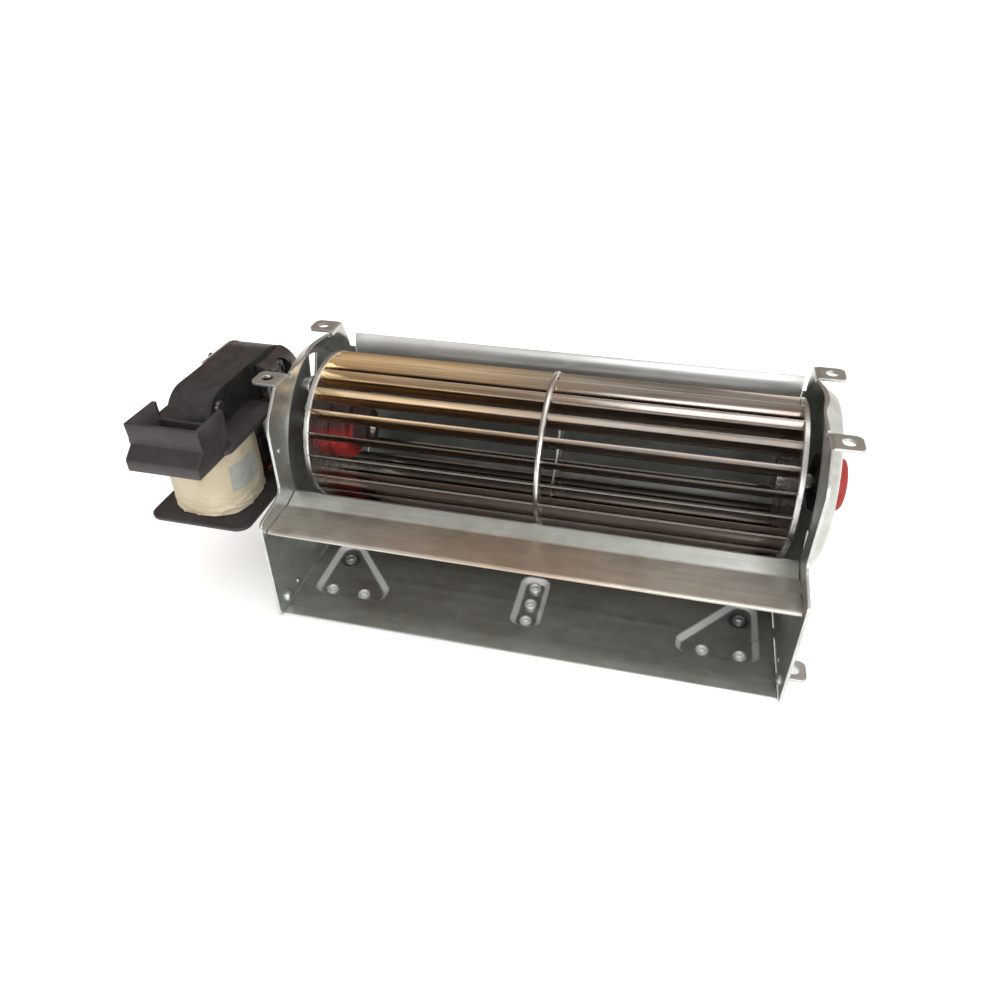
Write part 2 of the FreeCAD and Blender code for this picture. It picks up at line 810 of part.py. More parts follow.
def plate_outline():
    """Outline of a side plate in the YZ plane."""
    lean = math.tan(math.radians(size("back_lean")))
    gauge = size("sheet_gauge")
    margin = size("plate_margin")
    top = size("tab_top") - size("plate_gauge") * 0.4
    bottom = size("floor_height") - size("plate_gauge")
    half_tab = size("tab_width") / 2
    rear_top = size("rear_tab_position") + half_tab + size("tab_shoulder")
    front_top = size("front_tab_position") - half_tab - size("tab_shoulder")
    waist_y = size("lip_reach") - size("plate_waist_inset")
    waist_z = size("lip_height") - size("plate_waist_drop")
    shoulder_z = size("lip_height") - size("plate_shoulder_drop")
    shoulder_y = size("lip_reach") + size("plate_shoulder_drop") * lean + gauge + size("plate_edge_margin")
    drop = size("lip_height") - size("back_bend_height")
    bend_y = size("lip_reach") + drop * lean + gauge + margin
    front = -size("plate_front_reach")
    nose = -size("outlet_reach")
    return [
        (rear_top, top, 0.4),
        (waist_y, waist_z, 2.0),
        (shoulder_y, shoulder_z, 2.0),
        (bend_y, size("back_bend_height") - margin, size("back_bend_radius")),
        (size("heel_reach") + margin * 0.8, bottom, size("heel_radius") - 1.5),
        (nose, bottom, 1.0),
        (nose, size("plate_nose_height"), 3.0),
        (front, size("plate_neck_height"), 4.0),
        (front, size("tab_top") - 11.0, 9.0),
        (front_top, top, 0.4)] + relief(size("front_tab_position") + half_tab, 1) + relief(
            size("rear_tab_position") - half_tab, -1)[::-1]


def dish_flange():
    """Radius where the dish's mouth bend has run out into the flat plate, and a little beyond."""
    rise = size("dish_mouth_radius") - size("dish_floor_radius")
    lean = math.atan2(size("dish_depth"), rise)
    return size("dish_mouth_radius") + size("dish_mouth_bend") * math.tan(lean / 2) + 0.4


def window_outline(angle, turn):
    """A kidney-shaped window, as edges."""
    inner = size("window_inner_radius")
    outer = size("window_outer_radius")
    low = math.radians(turn - angle / 2)
    high = math.radians(turn + angle / 2)
    middle = math.radians(turn)

    def at(radius, direction):
        return Vector(radius * math.cos(direction), radius * math.sin(direction))

    return [Part.Arc(at(outer, low), at(outer, middle), at(outer, high)),
            Part.LineSegment(at(outer, high), at(inner, high)),
            Part.Arc(at(inner, high), at(inner, middle), at(inner, low)),
            Part.LineSegment(at(inner, low), at(outer, low))]


def add_tab(body, side, place, level, upright):
    """A fixing tab folded outwards at a level: its bend, its flat with two round corners, its hole.

    place is the alias of the tab's middle along Y, and upright is 1 for a tab at the plate's top
    and -1 for one at its foot.
    """
    inside = plate_inside()
    gauge = size("plate_gauge")
    end = inside + gauge + size("tab_length")
    bend_end = inside + gauge * 2.5
    path = [(side * inside, level - upright * gauge * 2.4, 0), (side * inside, level, gauge * 1.6),
            (side * bend_end, level, 0)]
    if side * upright > 0:
        path = path[::-1]
    sketch = new_sketch(body, "XZ_Plane", "TabBend", f"-(sizes.{place} + sizes.tab_width / 2)")
    draw(sketch, sheet_outline(path, gauge))
    add_pad(body, sketch, "sizes.tab_width")
    middle = size(place)
    half = size("tab_width") / 2
    corner = size("tab_corner")
    corners = [(side * bend_end, middle - half, 0), (side * end, middle - half, corner),
               (side * end, middle + half, corner), (side * bend_end, middle + half, 0)]
    underside = level - gauge if upright > 0 else level
    sketch = new_sketch(body, "XY_Plane", "TabFlat", f"({underside})")
    draw(sketch, rounded(corners))
    add_pad(body, sketch, "sizes.plate_gauge")
    sketch = new_sketch(body, "XY_Plane", "TabHole", f"({underside}) + sizes.plate_gauge * 1.5")
    draw_circle(sketch, f"{side} * ({PLATE_INSIDE} + sizes.plate_gauge + sizes.tab_hole_reach)",
                f"sizes.{place}", "sizes.tab_hole_radius")
    add_pocket(body, sketch, "sizes.plate_gauge * 2", reverse=True)


def side_plate(label, side, hole, window_angle, window_turn):
    """A plate with a pressed dish; the flat blank is trimmed to its outline after the pressing."""
    body = new_body(label)
    inside = plate_inside()
    gauge = size("plate_gauge")
    start = f"{side} * ({PLATE_INSIDE})"
    mouth = size("dish_mouth_radius")
    floor_radius = size("dish_floor_radius")
    flange = dish_flange()
    front = -size("outlet_reach") - 2.0
    rear = size("lip_reach") + flange / 2
    bottom = size("floor_height") - gauge - 2.0
    sketch = new_sketch(body, "YZ_Plane", "Blank", start)
    draw(sketch, rectangle(front, bottom, rear, flange + 2.0))
    add_pad(body, sketch, "sizes.plate_gauge", reverse=side < 0)
    sketch = new_sketch(body, "YZ_Plane", "DishOpening", start)
    draw_circle(sketch, "0", "0", f"{flange - 0.2}")
    add_pocket(body, sketch, "sizes.plate_gauge", reverse=side < 0)
    path = [(side * inside, flange, 0), (side * inside, mouth, size("dish_mouth_bend")),
            (side * (inside + size("dish_depth")), floor_radius, size("dish_floor_bend")),
            (side * (inside + size("dish_depth")), hole, 0)]
    if side < 0:
        path = path[::-1]
    draw_path = sheet_outline(path, gauge)
    sketch = new_sketch(body, "XZ_Plane", "DishSection")
    draw(sketch, draw_path)
    turn = body.newObject("PartDesign::Revolution", "Dish")
    turn.Profile = sketch
    turn.ReferenceAxis = (sketch, ["H_Axis"])
    turn.Angle = 360
    doc.recompute()
    sketch = new_sketch(body, "YZ_Plane", "PlateOutline", f"{start} - {side} * 0.5")
    draw(sketch, rectangle(front - 2.0, bottom - 2.0, rear + 2.0, flange + 4.0))
    draw(sketch, rounded(plate_outline()))
    add_pocket(body, sketch, "sizes.dish_depth + sizes.plate_gauge + 1", reverse=side < 0)
    sketch = new_sketch(body, "YZ_Plane", "DishWindow", f"{start} + {side} * (sizes.dish_depth - 0.5)")
    draw(sketch, window_outline(window_angle, window_turn))
    pocket = add_pocket(body, sketch, "sizes.plate_gauge + 1", reverse=side < 0)
    add_polar(body, pocket, "sizes.window_count")
    sketch = new_sketch(body, "YZ_Plane", "LugSlots", start)
    for outline in scroll_lugs(size("lug_clearance")) + tongue_lugs(size("lug_clearance")):
        draw(sketch, outline)
    add_pocket(body, sketch, "sizes.plate_gauge", reverse=side < 0)
    add_tab(body, side, "rear_tab_position", size("tab_top"), 1)
    add_tab(body, side, "front_tab_position", size("tab_top"), 1)
    add_tab(body, side, "lower_tab_position", size("floor_height") - gauge, -1)
    return body


def motor_side_plate():
    body = side_plate("motor_side_plate", -1, size("motor_hole_radius"),
                      size("motor_window_angle"), size("motor_window_turn"))
    sketch = new_sketch(body, "YZ_Plane", "MotorScrewHoles", f"-({PLATE_INSIDE}) - sizes.dish_depth + 0.5")
    for sign in ("", "-"):
        draw_circle(sketch, "0", f"{sign}sizes.mounting_screw_height",
                    "sizes.screw_radius + sizes.screw_hole_clearance")
    add_pocket(body, sketch, "sizes.plate_gauge + 1", reverse=True)


def bearing_side_plate():
    side_plate("bearing_side_plate", 1, size("mount_neck_radius"),
               size("bearing_window_angle"), size("bearing_window_turn"))


# Motor

STACK_NEAR = (f"-({PLATE_INSIDE} + sizes.dish_depth + sizes.plate_gauge + sizes.motor_gap"
              " + sizes.front_bridge_depth)")


def stack_middle():
    return (stack_near() + stack_far()) / 2


def leg_centre():
    return -(size("stack_front") - size("leg_depth") / 2)


def window_rear():
    return -(size("stack_front") - size("leg_depth") - size("window_depth"))


def stator_core():
    """C-shaped lamination stack with the rotor bore at its round end."""
    body = new_body("stator_core")
    high = size("stack_half_height")
    front = -size("stack_front")
    rear = size("stack_rear")
    window = size("window_half_height")
    sketch = new_sketch(body, "YZ_Plane", "Lamination", STACK_NEAR)
    draw(sketch, rounded([
        (front, window, 0), (front, high, size("stack_front_corner")),
        (rear, high, size("stack_rear_corner")), (rear, -high, size("stack_rear_corner")),
        (front, -high, size("stack_front_corner")), (front, -window, 0),
        (window_rear(), -window, 2.0), (window_rear(), window, 2.0)]))
    add_pad(body, sketch, "sizes.stack_depth", reverse=True)
    sketch = new_sketch(body, "YZ_Plane", "RotorBore", STACK_NEAR)
    draw_circle(sketch, "0", "0", "sizes.rotor_radius + sizes.rotor_gap")
    add_pocket(body, sketch, "sizes.stack_depth", reverse=True)
    sketch = new_sketch(body, "YZ_Plane", "PoleGap", STACK_NEAR)
    draw(sketch, rectangle(window_rear() - 1.0, -0.6, 0, 0.6))
    add_pocket(body, sketch, "sizes.stack_depth", reverse=True)
    sketch = new_sketch(body, "YZ_Plane", "BridgeScrewHoles", STACK_NEAR)
    for sign in ("", "-"):
        draw_circle(sketch, "0", f"{sign}sizes.bridge_screw_height",
                    "sizes.screw_radius + sizes.screw_hole_clearance")
    add_pocket(body, sketch, "sizes.stack_depth", reverse=True)
    sketch = new_sketch(body, "YZ_Plane", "RivetHoles", STACK_NEAR)
    for across, up in core_rivet_places():
        draw_circle(sketch, str(across), str(up), "sizes.core_rivet_radius")
    add_pocket(body, sketch, "sizes.stack_depth", reverse=True)
    half = size("shading_ring_gauge") / 2 + 0.1
    for sign in (1, -1):
        sketch = new_sketch(body, "YZ_Plane", "ShadingSlot", STACK_NEAR)
        centre = ring_leg(sign)
        draw(sketch, rectangle(centre[0] - half, centre[1] - half, centre[0] + half, centre[1] + half))
        add_pocket(body, sketch, "sizes.stack_depth", reverse=True)


def core_rivet_places():
    front = size("core_rivet_inset") - size("stack_front")
    front_height = size("core_rivet_height")
    rear = size("rear_rivet_position")
    rear_height = size("rear_rivet_height")
    return [(front, front_height), (front, -front_height), (rear, rear_height), (rear, -rear_height)]


def ring_leg(sign):
    """Where the inner leg of a shading ring passes through the stack."""
    return -(size("bridge_half_width") + size("shading_ring_gauge")), sign * size("shading_ring_height")


def coil_leg():
    """Straight limb that closes the core inside the coil."""
    body = new_body("coil_leg")
    front = -size("stack_front")
    window = size("window_half_height")
    sketch = new_sketch(body, "YZ_Plane", "LegOutline", STACK_NEAR)
    draw(sketch, rectangle(front, -window, front + size("leg_depth"), window))
    add_pad(body, sketch, "sizes.stack_depth", reverse=True)


def shading_rings():
    """Copper loops round the corner of each pole, one leg in the window, one in its slot."""
    rings = []
    gauge = size("shading_ring_gauge")
    overhang = 0.6
    length = size("stack_depth") + 2 * (gauge + overhang)
    for sign in (1, -1):
        inner_y, inner_z = ring_leg(sign)
        outer_y = window_rear() - gauge / 2 - 0.2
        width = inner_y - outer_y + gauge
        height = gauge
        outside = Part.makeBox(length, width, height)
        inside = Part.makeBox(length - 2 * gauge, width - 2 * gauge, height)
        inside.translate(Vector(gauge, gauge, 0))
        ring = outside.cut(inside)
        start_x = stack_far() - gauge - overhang
        ring.translate(Vector(start_x, outer_y - gauge / 2, inner_z - gauge / 2))
        rings.append(ring)
    feature = doc.addObject("Part::Feature", "shading_rings")
    feature.Label = "shading_rings"
    feature.Shape = Part.makeCompound(rings)
    sub_parts.append(feature)


def core_rivets():
    body = new_body("core_rivets")
    for across, up in core_rivet_places():
        sketch = new_sketch(body, "YZ_Plane", "RivetShank", STACK_NEAR)
        draw_circle(sketch, str(across), str(up), "sizes.core_rivet_radius")
        add_pad(body, sketch, "sizes.stack_depth", reverse=True)
        sketch = new_sketch(body, "YZ_Plane", "RivetHead", STACK_NEAR)
        draw_circle(sketch, str(across), str(up), "sizes.core_rivet_head_radius")
        add_pad(body, sketch, "sizes.core_rivet_head_height", taper="-30")
        sketch = new_sketch(body, "YZ_Plane", "RivetTail", f"{STACK_NEAR} - sizes.stack_depth")
        draw_circle(sketch, str(across), str(up), "sizes.core_rivet_head_radius")
        add_pad(body, sketch, "sizes.core_rivet_head_height", reverse=True, taper="-30")


def bobbin_box(half_x, half_y, radius):
    return rectangle(stack_middle() - half_x, leg_centre() - half_y,
                     stack_middle() + half_x, leg_centre() + half_y, radius)


def tube_halves():
    spare = size("bobbin_clearance")
    return size("stack_depth") / 2 + spare, size("leg_depth") / 2 + spare


def bobbin():
    """Moulded coil former with two flanges and the terminal shroud on the upper one."""
    body = new_body("bobbin")
    inner_x, inner_y = tube_halves()
    wall = size("bobbin_wall")
    sketch = new_sketch(body, "XY_Plane", "Tube", "-sizes.bobbin_half_height")
    draw(sketch, bobbin_box(inner_x + wall, inner_y + wall, 1.0))
    add_pad(body, sketch, "2 * sizes.bobbin_half_height")
    for start in ("-sizes.bobbin_half_height", "sizes.bobbin_half_height - sizes.bobbin_flange_gauge"):
        sketch = new_sketch(body, "XY_Plane", "Flange", start)
        draw(sketch, bobbin_box(size("bobbin_half_width"), size("bobbin_half_depth"),
                                size("bobbin_corner")))
        add_pad(body, sketch, "sizes.bobbin_flange_gauge")
    left = stack_middle() - size("shroud_left")
    right = stack_middle() + size("shroud_right")
    front = -size("shroud_front")
    rear = -size("shroud_rear")
    upper = -size("shroud_upper_front")
    top = size("bobbin_half_height")
    base = top - size("bobbin_flange_gauge")
    rim = base + size("shroud_height")
    sketch = new_sketch(body, "YZ_Plane", "Shroud", f"({left})")
    draw(sketch, rounded([
        (front, base, 0.5), (rear, base, 0), (rear, rim, 0.5), (upper, rim, 0.5),
        (upper + 0.5, top + size("shroud_shoulder_head"), 1.0),
        (front, top + size("shroud_shoulder_foot"), 0.8)]))
    add_pad(body, sketch, f"({right} - {left})".replace("--", "+"))
    thick = size("shroud_wall")
    sketch = new_sketch(body, "XY_Plane", "ShroudInside", "sizes.bobbin_half_height")
    draw(sketch, rectangle(left + thick, upper + thick + 0.5, right - thick, rear - thick, 0.4))
    add_pocket(body, sketch, "sizes.shroud_height")
    low = ("sizes.bobbin_half_height - sizes.bobbin_flange_gauge + sizes.shroud_height"
           " - sizes.shroud_rear_drop")
    sketch = new_sketch(body, "XY_Plane", "RearWallDrop", low)
    post = thick + 0.8
    draw(sketch, rectangle(left + post, rear - post, right - post, rear + 1.0))
    add_pocket(body, sketch, "sizes.shroud_rear_drop + 1", reverse=True)
    sketch = new_sketch(body, "XY_Plane", "LegOpening", "-sizes.bobbin_half_height")
    draw(sketch, bobbin_box(inner_x, inner_y, 0))
    add_pocket(body, sketch, "2 * sizes.bobbin_half_height")


def coil_ring(label, low_alias_gap, inner_edges, half, corner):
    body = new_body(label)
    low = f"-(sizes.bobbin_half_height - sizes.bobbin_flange_gauge - {low_alias_gap})"
    sketch = new_sketch(body, "XY_Plane", "CoilSection", low)
    draw(sketch, bobbin_box(half, half, corner))
    draw(sketch, inner_edges)
    add_pad(body, sketch, f"2 * (sizes.bobbin_half_height - sizes.bobbin_flange_gauge - {low_alias_gap})")


def coil_winding():
    inner_x, inner_y = tube_halves()
    wall = size("bobbin_wall") + 0.1
    edge = size("coil_half_width") - size("coil_wrap_gauge")
    corner = size("coil_corner") - size("coil_wrap_gauge")
    coil_ring("coil_winding", "0.3", bobbin_box(inner_x + wall, inner_y + wall, 1.0), edge, corner)


def coil_wrap():
    edge = size("coil_half_width") - size("coil_wrap_gauge")
    corner = size("coil_corner") - size("coil_wrap_gauge")
    coil_ring("coil_wrap", "0.1", bobbin_box(edge, edge, corner), size("coil_half_width"),
              size("coil_corner"))


def spade_terminals():
    body = new_body("spade_terminals")
    middle_y = -(size("shroud_upper_front") + size("shroud_rear")) / 2
    half = size("terminal_width") / 2
    gauge = size("terminal_gauge") / 2
    sketch = new_sketch(body, "XZ_Plane", "Blades", f"{-middle_y} - sizes.terminal_gauge / 2")
    base = size("bobbin_half_height")
    top = base + size("terminal_height")
    for shift in (-size("terminal_pitch") / 2, size("terminal_pitch") / 2):
        centre = stack_middle() + size("terminal_offset") + shift
        draw(sketch, rounded([(centre - half, base, 0), (centre + half, base, 0),
                              (centre + half, top, 1.2), (centre - half, top, 1.2)]))
    add_pad(body, sketch, "sizes.terminal_gauge")


def trim_to(body, plane, corners, offset, length):
    """Cuts away all that lies outside an outline, right through the body."""
    sketch = new_sketch(body, plane, "TrimOutline", offset)
    draw(sketch, rectangle(-290, -90, 290, 90))
    draw(sketch, rounded(corners))
    add_pocket(body, sketch, length)


def bearing_bridge(label, face, back, corner, crown):
    """A cast bridge across one face of the stack; face is its free side, back touches the stack."""
    body = new_body(label)
    out = 1 if face > back else -1
    high = size("bridge_half_height")
    wide = size("bridge_half_width")
    sketch = new_sketch(body, "XY_Plane", "CrownedSection", "-sizes.bridge_half_height")
    section = [(back, -wide, 0.6), (face, -wide, crown), (face, wide, crown), (back, wide, 0.6)]
    draw(sketch, rounded(section[::out]))
    add_pad(body, sketch, "2 * sizes.bridge_half_height")
    profile = [(back - out, -high, 0), (face, -high, corner), (face, high, corner), (back - out, high, 0)]
    trim_to(body, "XZ_Plane", profile[::out], "-sizes.bridge_half_width - 1",
            "2 * sizes.bridge_half_width + 2")
    boss = size("bridge_boss_radius")
    tip = face + out * size("bridge_boss_height")
    seat = size("motor_shaft_radius") + size("motor_bush_wall")
    add_turned(body, [(face - out * 5.0, seat - 1.0, 0), (tip, seat - 1.0, 0), (tip, boss, 0.8),
                      (face - out * 5.0, boss, 0)], "Boss")
    sketch = new_sketch(body, "XZ_Plane", "RotorPocket")
    pocket = size("bridge_pocket_radius")
    deep = back + out * size("bridge_pocket_depth")
    draw(sketch, rounded([(back - out, 0, 0), (deep, 0, 0), (deep, pocket, 1.5),
                          (back - out, pocket, 0)]))
    add_groove(body, sketch)
    sketch = new_sketch(body, "XZ_Plane", "BushSeat")
    bush_in = tip - out * 0.6
    draw(sketch, rounded([(deep - out, 0, 0), (bush_in, 0, 0), (bush_in, seat, 0), (deep - out, seat, 0)]))
    add_groove(body, sketch)
    sketch = new_sketch(body, "YZ_Plane", "ScrewHoles", f"({face + out * 1.0})")
    for sign in ("", "-"):
        draw_circle(sketch, "0", f"{sign}sizes.bridge_screw_height",
                    "sizes.screw_radius + sizes.screw_hole_clearance")
    add_pocket(body, sketch, "sizes.rear_bridge_depth + 2", reverse=out > 0)
    return body


def add_groove(body, sketch):
    before = volume_of(body)
    groove = body.newObject("PartDesign::Groove", "Groove")
    groove.Profile = sketch
    groove.ReferenceAxis = (sketch, ["H_Axis"])
    groove.Angle = 360
    doc.recompute()
    if volume_of(body) > before - 1e-6:
        raise RuntimeError(f"{body.Label}: {sketch.Label} cuts nothing")


def sink_heads(body, face, out):
    """Counterbores for the heads of the bridge screws."""
    sketch = new_sketch(body, "YZ_Plane", "Counterbores", f"({face})")
    for sign in ("", "-"):
        draw_circle(sketch, "0", f"{sign}sizes.bridge_screw_height",
                    "sizes.screw_head_radius + sizes.screw_head_play")
    add_pocket(body, sketch, "sizes.screw_head_height + sizes.screw_head_sink", reverse=out > 0)


def front_bearing_bridge():
    body = bearing_bridge("front_bearing_bridge", bridge_face(), stack_near(),
                          size("front_bridge_corner"), size("front_bridge_crown"))
    sketch = new_sketch(body, "YZ_Plane", "MountingPads", f"({bridge_face()})")
    for sign in ("", "-"):
        draw_circle(sketch, "0", f"{sign}sizes.mounting_screw_height", "sizes.spacer_radius")
    add_pad(body, sketch, "sizes.mounting_screw_grip", reverse=True)
    sketch = new_sketch(body, "YZ_Plane", "MountingHoles", f"({bridge_face()})")
    for sign in ("", "-"):
        draw_circle(sketch, "0", f"{sign}sizes.mounting_screw_height", "sizes.screw_radius")
    add_pocket(body, sketch, "sizes.mounting_screw_grip", reverse=True)
    sink_heads(body, bridge_face(), 1)


def rear_bearing_bridge():
    body = bearing_bridge("rear_bearing_bridge", rear_bridge_face(), stack_far(),
                          size("rear_bridge_corner"), size("rear_bridge_crown"))
    sink_heads(body, rear_bridge_face(), -1)


def motor_bushes():
    body = new_body("motor_bushes")
    bore = size("motor_shaft_radius") + size("running_clearance")
    outer = size("motor_shaft_radius") + size("motor_bush_wall")
    for face, out in ((bridge_face(), 1), (rear_bridge_face(), -1)):
        tip = face + out * (size("bridge_boss_height") - 0.6)
        start = tip - out * size("motor_bush_length")
        add_turned(body, [(start, bore, 0), (tip, bore, 0), (tip, outer, 0), (start, outer, 0.6)])


def rotor_core():
    """Skewed-bar rotor seen as a plain cylinder with its two end rings."""
    body = new_body("rotor_core")
    bore = size("motor_shaft_radius")
    ring = size("rotor_ring_length")
    radius = size("rotor_radius")
    add_turned(body, [
        (stack_near() + ring, bore, 0), (stack_near() + ring, radius - 1.5, 0.5),
        (stack_near(), radius - 1.5, 0), (stack_near(), radius, 0), (stack_far(), radius, 0),
        (stack_far(), radius - 1.5, 0), (stack_far() - ring, radius - 1.5, 0.5),
        (stack_far() - ring, bore, 0)])


def rotor_shaft():
    body = new_body("rotor_shaft")
    radius = size("motor_shaft_radius")
    start = rear_bridge_face() - size("bridge_boss_height") + 1.6
    end = -web_outside() + size("disc_gauge") + size("coupling_length") - 1.0
    add_turned(body, [(start, 0, 0), (end, 0, 0), (end, radius, 0.4), (start, radius, 0.4)])


def rotor_washers():
    body = new_body("rotor_washers")
    gauge = size("washer_gauge")
    for edge, out in ((stack_near() + size("rotor_ring_length"), 1),
                      (stack_far() - size("rotor_ring_length"), -1)):
        near = edge + out * 0.05
        far = near + out * gauge
        bore = size("motor_shaft_radius")
        add_turned(body, [(near, bore, 0), (far, bore, 0), (far, bore + 2.2, 0), (near, bore + 2.2, 0)])


def turned_screws(label, height_alias, stations):
    """Two equal turned solids above and below the axis; stations are (x, radius) along them."""
    body = new_body(label)
    for sign in ("", "-"):
        for start, length, radius, flat in stations:
            sketch = new_sketch(body, "YZ_Plane", "Round", f"({start})")
            draw_circle(sketch, "0", f"{sign}sizes.{height_alias}", radius)
            add_pad(body, sketch, length, taper=flat)
    return body


def bridge_screws():
    head = "sizes.screw_head_height"
    seat = bridge_face() - size("screw_head_height") - size("screw_head_sink")
    tip = rear_bridge_face() + size("screw_head_sink") - 0.4
    turned_screws("bridge_screws", "bridge_screw_height", [
        (seat, head, "sizes.screw_head_radius", None),
        (tip, str(seat - tip), "sizes.screw_radius", None)])


def bridge_nuts():
    body = new_body("bridge_nuts")
    seat = rear_bridge_face() + size("screw_head_height") + size("screw_head_sink")
    across = size("screw_head_radius")
    for sign in (1, -1):
        sketch = new_sketch(body, "YZ_Plane", "Nut", f"({seat})")
        corners = []
        for step in range(6):
            angle = math.radians(60 * step + 30)
            corners.append((across * math.cos(angle),
                            sign * size("bridge_screw_height") + across * math.sin(angle), 0))
        draw(sketch, rounded(corners))
        draw_circle(sketch, "0", f"{sign} * sizes.bridge_screw_height", "sizes.screw_radius")
        add_pad(body, sketch, "sizes.screw_head_height", reverse=True)


def motor_spacers():
    body = new_body("motor_spacers")
    for sign in ("", "-"):
        sketch = new_sketch(body, "YZ_Plane", "Spacer", f"({bridge_face()})")
        draw_circle(sketch, "0", f"{sign}sizes.mounting_screw_height", "sizes.spacer_radius")
        draw_circle(sketch, "0", f"{sign}sizes.mounting_screw_height",
                    "sizes.screw_radius + sizes.screw_hole_clearance")
        add_pad(body, sketch, "sizes.motor_gap")


def mounting_screws():
    inside = -(plate_inside() + size("dish_depth"))
    tip = bridge_face() - size("mounting_screw_grip")
    turned_screws("mounting_screws", "mounting_screw_height", [
        (tip, str(inside - tip), "sizes.screw_radius", None),
        (inside, "sizes.screw_head_height", "sizes.screw_head_radius", "-12")])


def build():
    scroll_housing()
    vortex_tongue()
    motor_side_plate()
    bearing_side_plate()
    impeller_blades()
    end_disc("motor_side_disc", -1, size("coupling_radius") - 0.6)
    end_disc("bearing_side_disc", 1, size("stub_hub_radius") - 1.5)
    middle_ring()
    rubber_coupling()
    coupling_sleeve()
    stub_hub()
    stub_shaft()
    end_bearing()
    bearing_mount()
    stator_core()
    coil_leg()
    shading_rings()
    core_rivets()
    bobbin()
    coil_winding()
    coil_wrap()
    spade_terminals()
    front_bearing_bridge()
    rear_bearing_bridge()
    motor_bushes()
    rotor_core()
    rotor_shaft()
    rotor_washers()
    bridge_screws()
    bridge_nuts()
    motor_spacers()
    mounting_screws()


def check():
    for item in doc.Objects:
        if "Invalid" in item.State or "Error" in item.State:
            raise RuntimeError(f"{item.Label} failed: {item.State}")
    for item in sub_parts:
        if item.Shape.isNull() or not item.Shape.isValid():
            raise RuntimeError(f"{item.Label} has no valid shape")


def move_to_reference():
    """Puts zero at the bottom centre of the whole fan."""
    box = FreeCAD.BoundBox()
    for item in sub_parts:
        box.add(item.Shape.optimalBoundingBox(False))
    shift = Vector(-box.Center.x, -box.Center.y, -box.ZMin)
    for item in sub_parts:
        item.Placement = Placement(shift, Rotation())
    doc.recompute()
    return shift


def main():
    build()
    doc.recompute()
    check()
    shift = move_to_reference()
    check()
    os.makedirs("parts", exist_ok=True)
    for item in sub_parts:
        item.Shape.exportStep(os.path.join("parts", f"{item.Label}.step"))
    print(f"{len(sub_parts)} sub-parts, moved by {shift.x:.3f}, {shift.y:.3f}, {shift.z:.3f}")
    for item in sub_parts:
        print(f"  {item.Label}: {len(item.Shape.Solids)} solids, {item.Shape.Volume:.0f} mm3")


main()
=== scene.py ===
"""Looks, light and camera for the refrigerator fan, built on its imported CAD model."""

import json
import math

import bmesh
import bpy
from mathutils import Matrix, Vector, noise


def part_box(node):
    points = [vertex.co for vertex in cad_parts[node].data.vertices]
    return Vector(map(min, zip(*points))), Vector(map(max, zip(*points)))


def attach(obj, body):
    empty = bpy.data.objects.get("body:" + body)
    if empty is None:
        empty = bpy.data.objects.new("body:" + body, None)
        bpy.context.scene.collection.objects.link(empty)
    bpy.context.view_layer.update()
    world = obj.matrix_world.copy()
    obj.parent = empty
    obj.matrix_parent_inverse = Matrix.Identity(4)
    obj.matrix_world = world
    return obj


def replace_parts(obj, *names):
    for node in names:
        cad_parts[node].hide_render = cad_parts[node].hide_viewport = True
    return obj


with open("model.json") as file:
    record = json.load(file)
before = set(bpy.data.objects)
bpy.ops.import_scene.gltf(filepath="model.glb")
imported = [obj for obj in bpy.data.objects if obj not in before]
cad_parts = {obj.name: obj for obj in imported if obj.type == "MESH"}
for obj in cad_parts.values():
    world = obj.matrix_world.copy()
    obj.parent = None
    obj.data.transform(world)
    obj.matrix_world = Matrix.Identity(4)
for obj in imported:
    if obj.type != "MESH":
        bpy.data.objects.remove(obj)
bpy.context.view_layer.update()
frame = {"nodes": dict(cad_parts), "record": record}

MM = 0.001


# Material building

EVEN = (1, 1, 1)
WHITE = (1.0, 1.0, 1.0)
WAVE_RADIANS = 20.0            # of a wave texture with a scale of 1, over one metre
BEVEL_SAMPLES = 4
# How well the flat and the bevelled normal agree where a bright edge (partly rubbed or cut metal,
# partly painted highlight) starts and where it is full
EDGE_AGREEMENT = (0.98, 0.75)


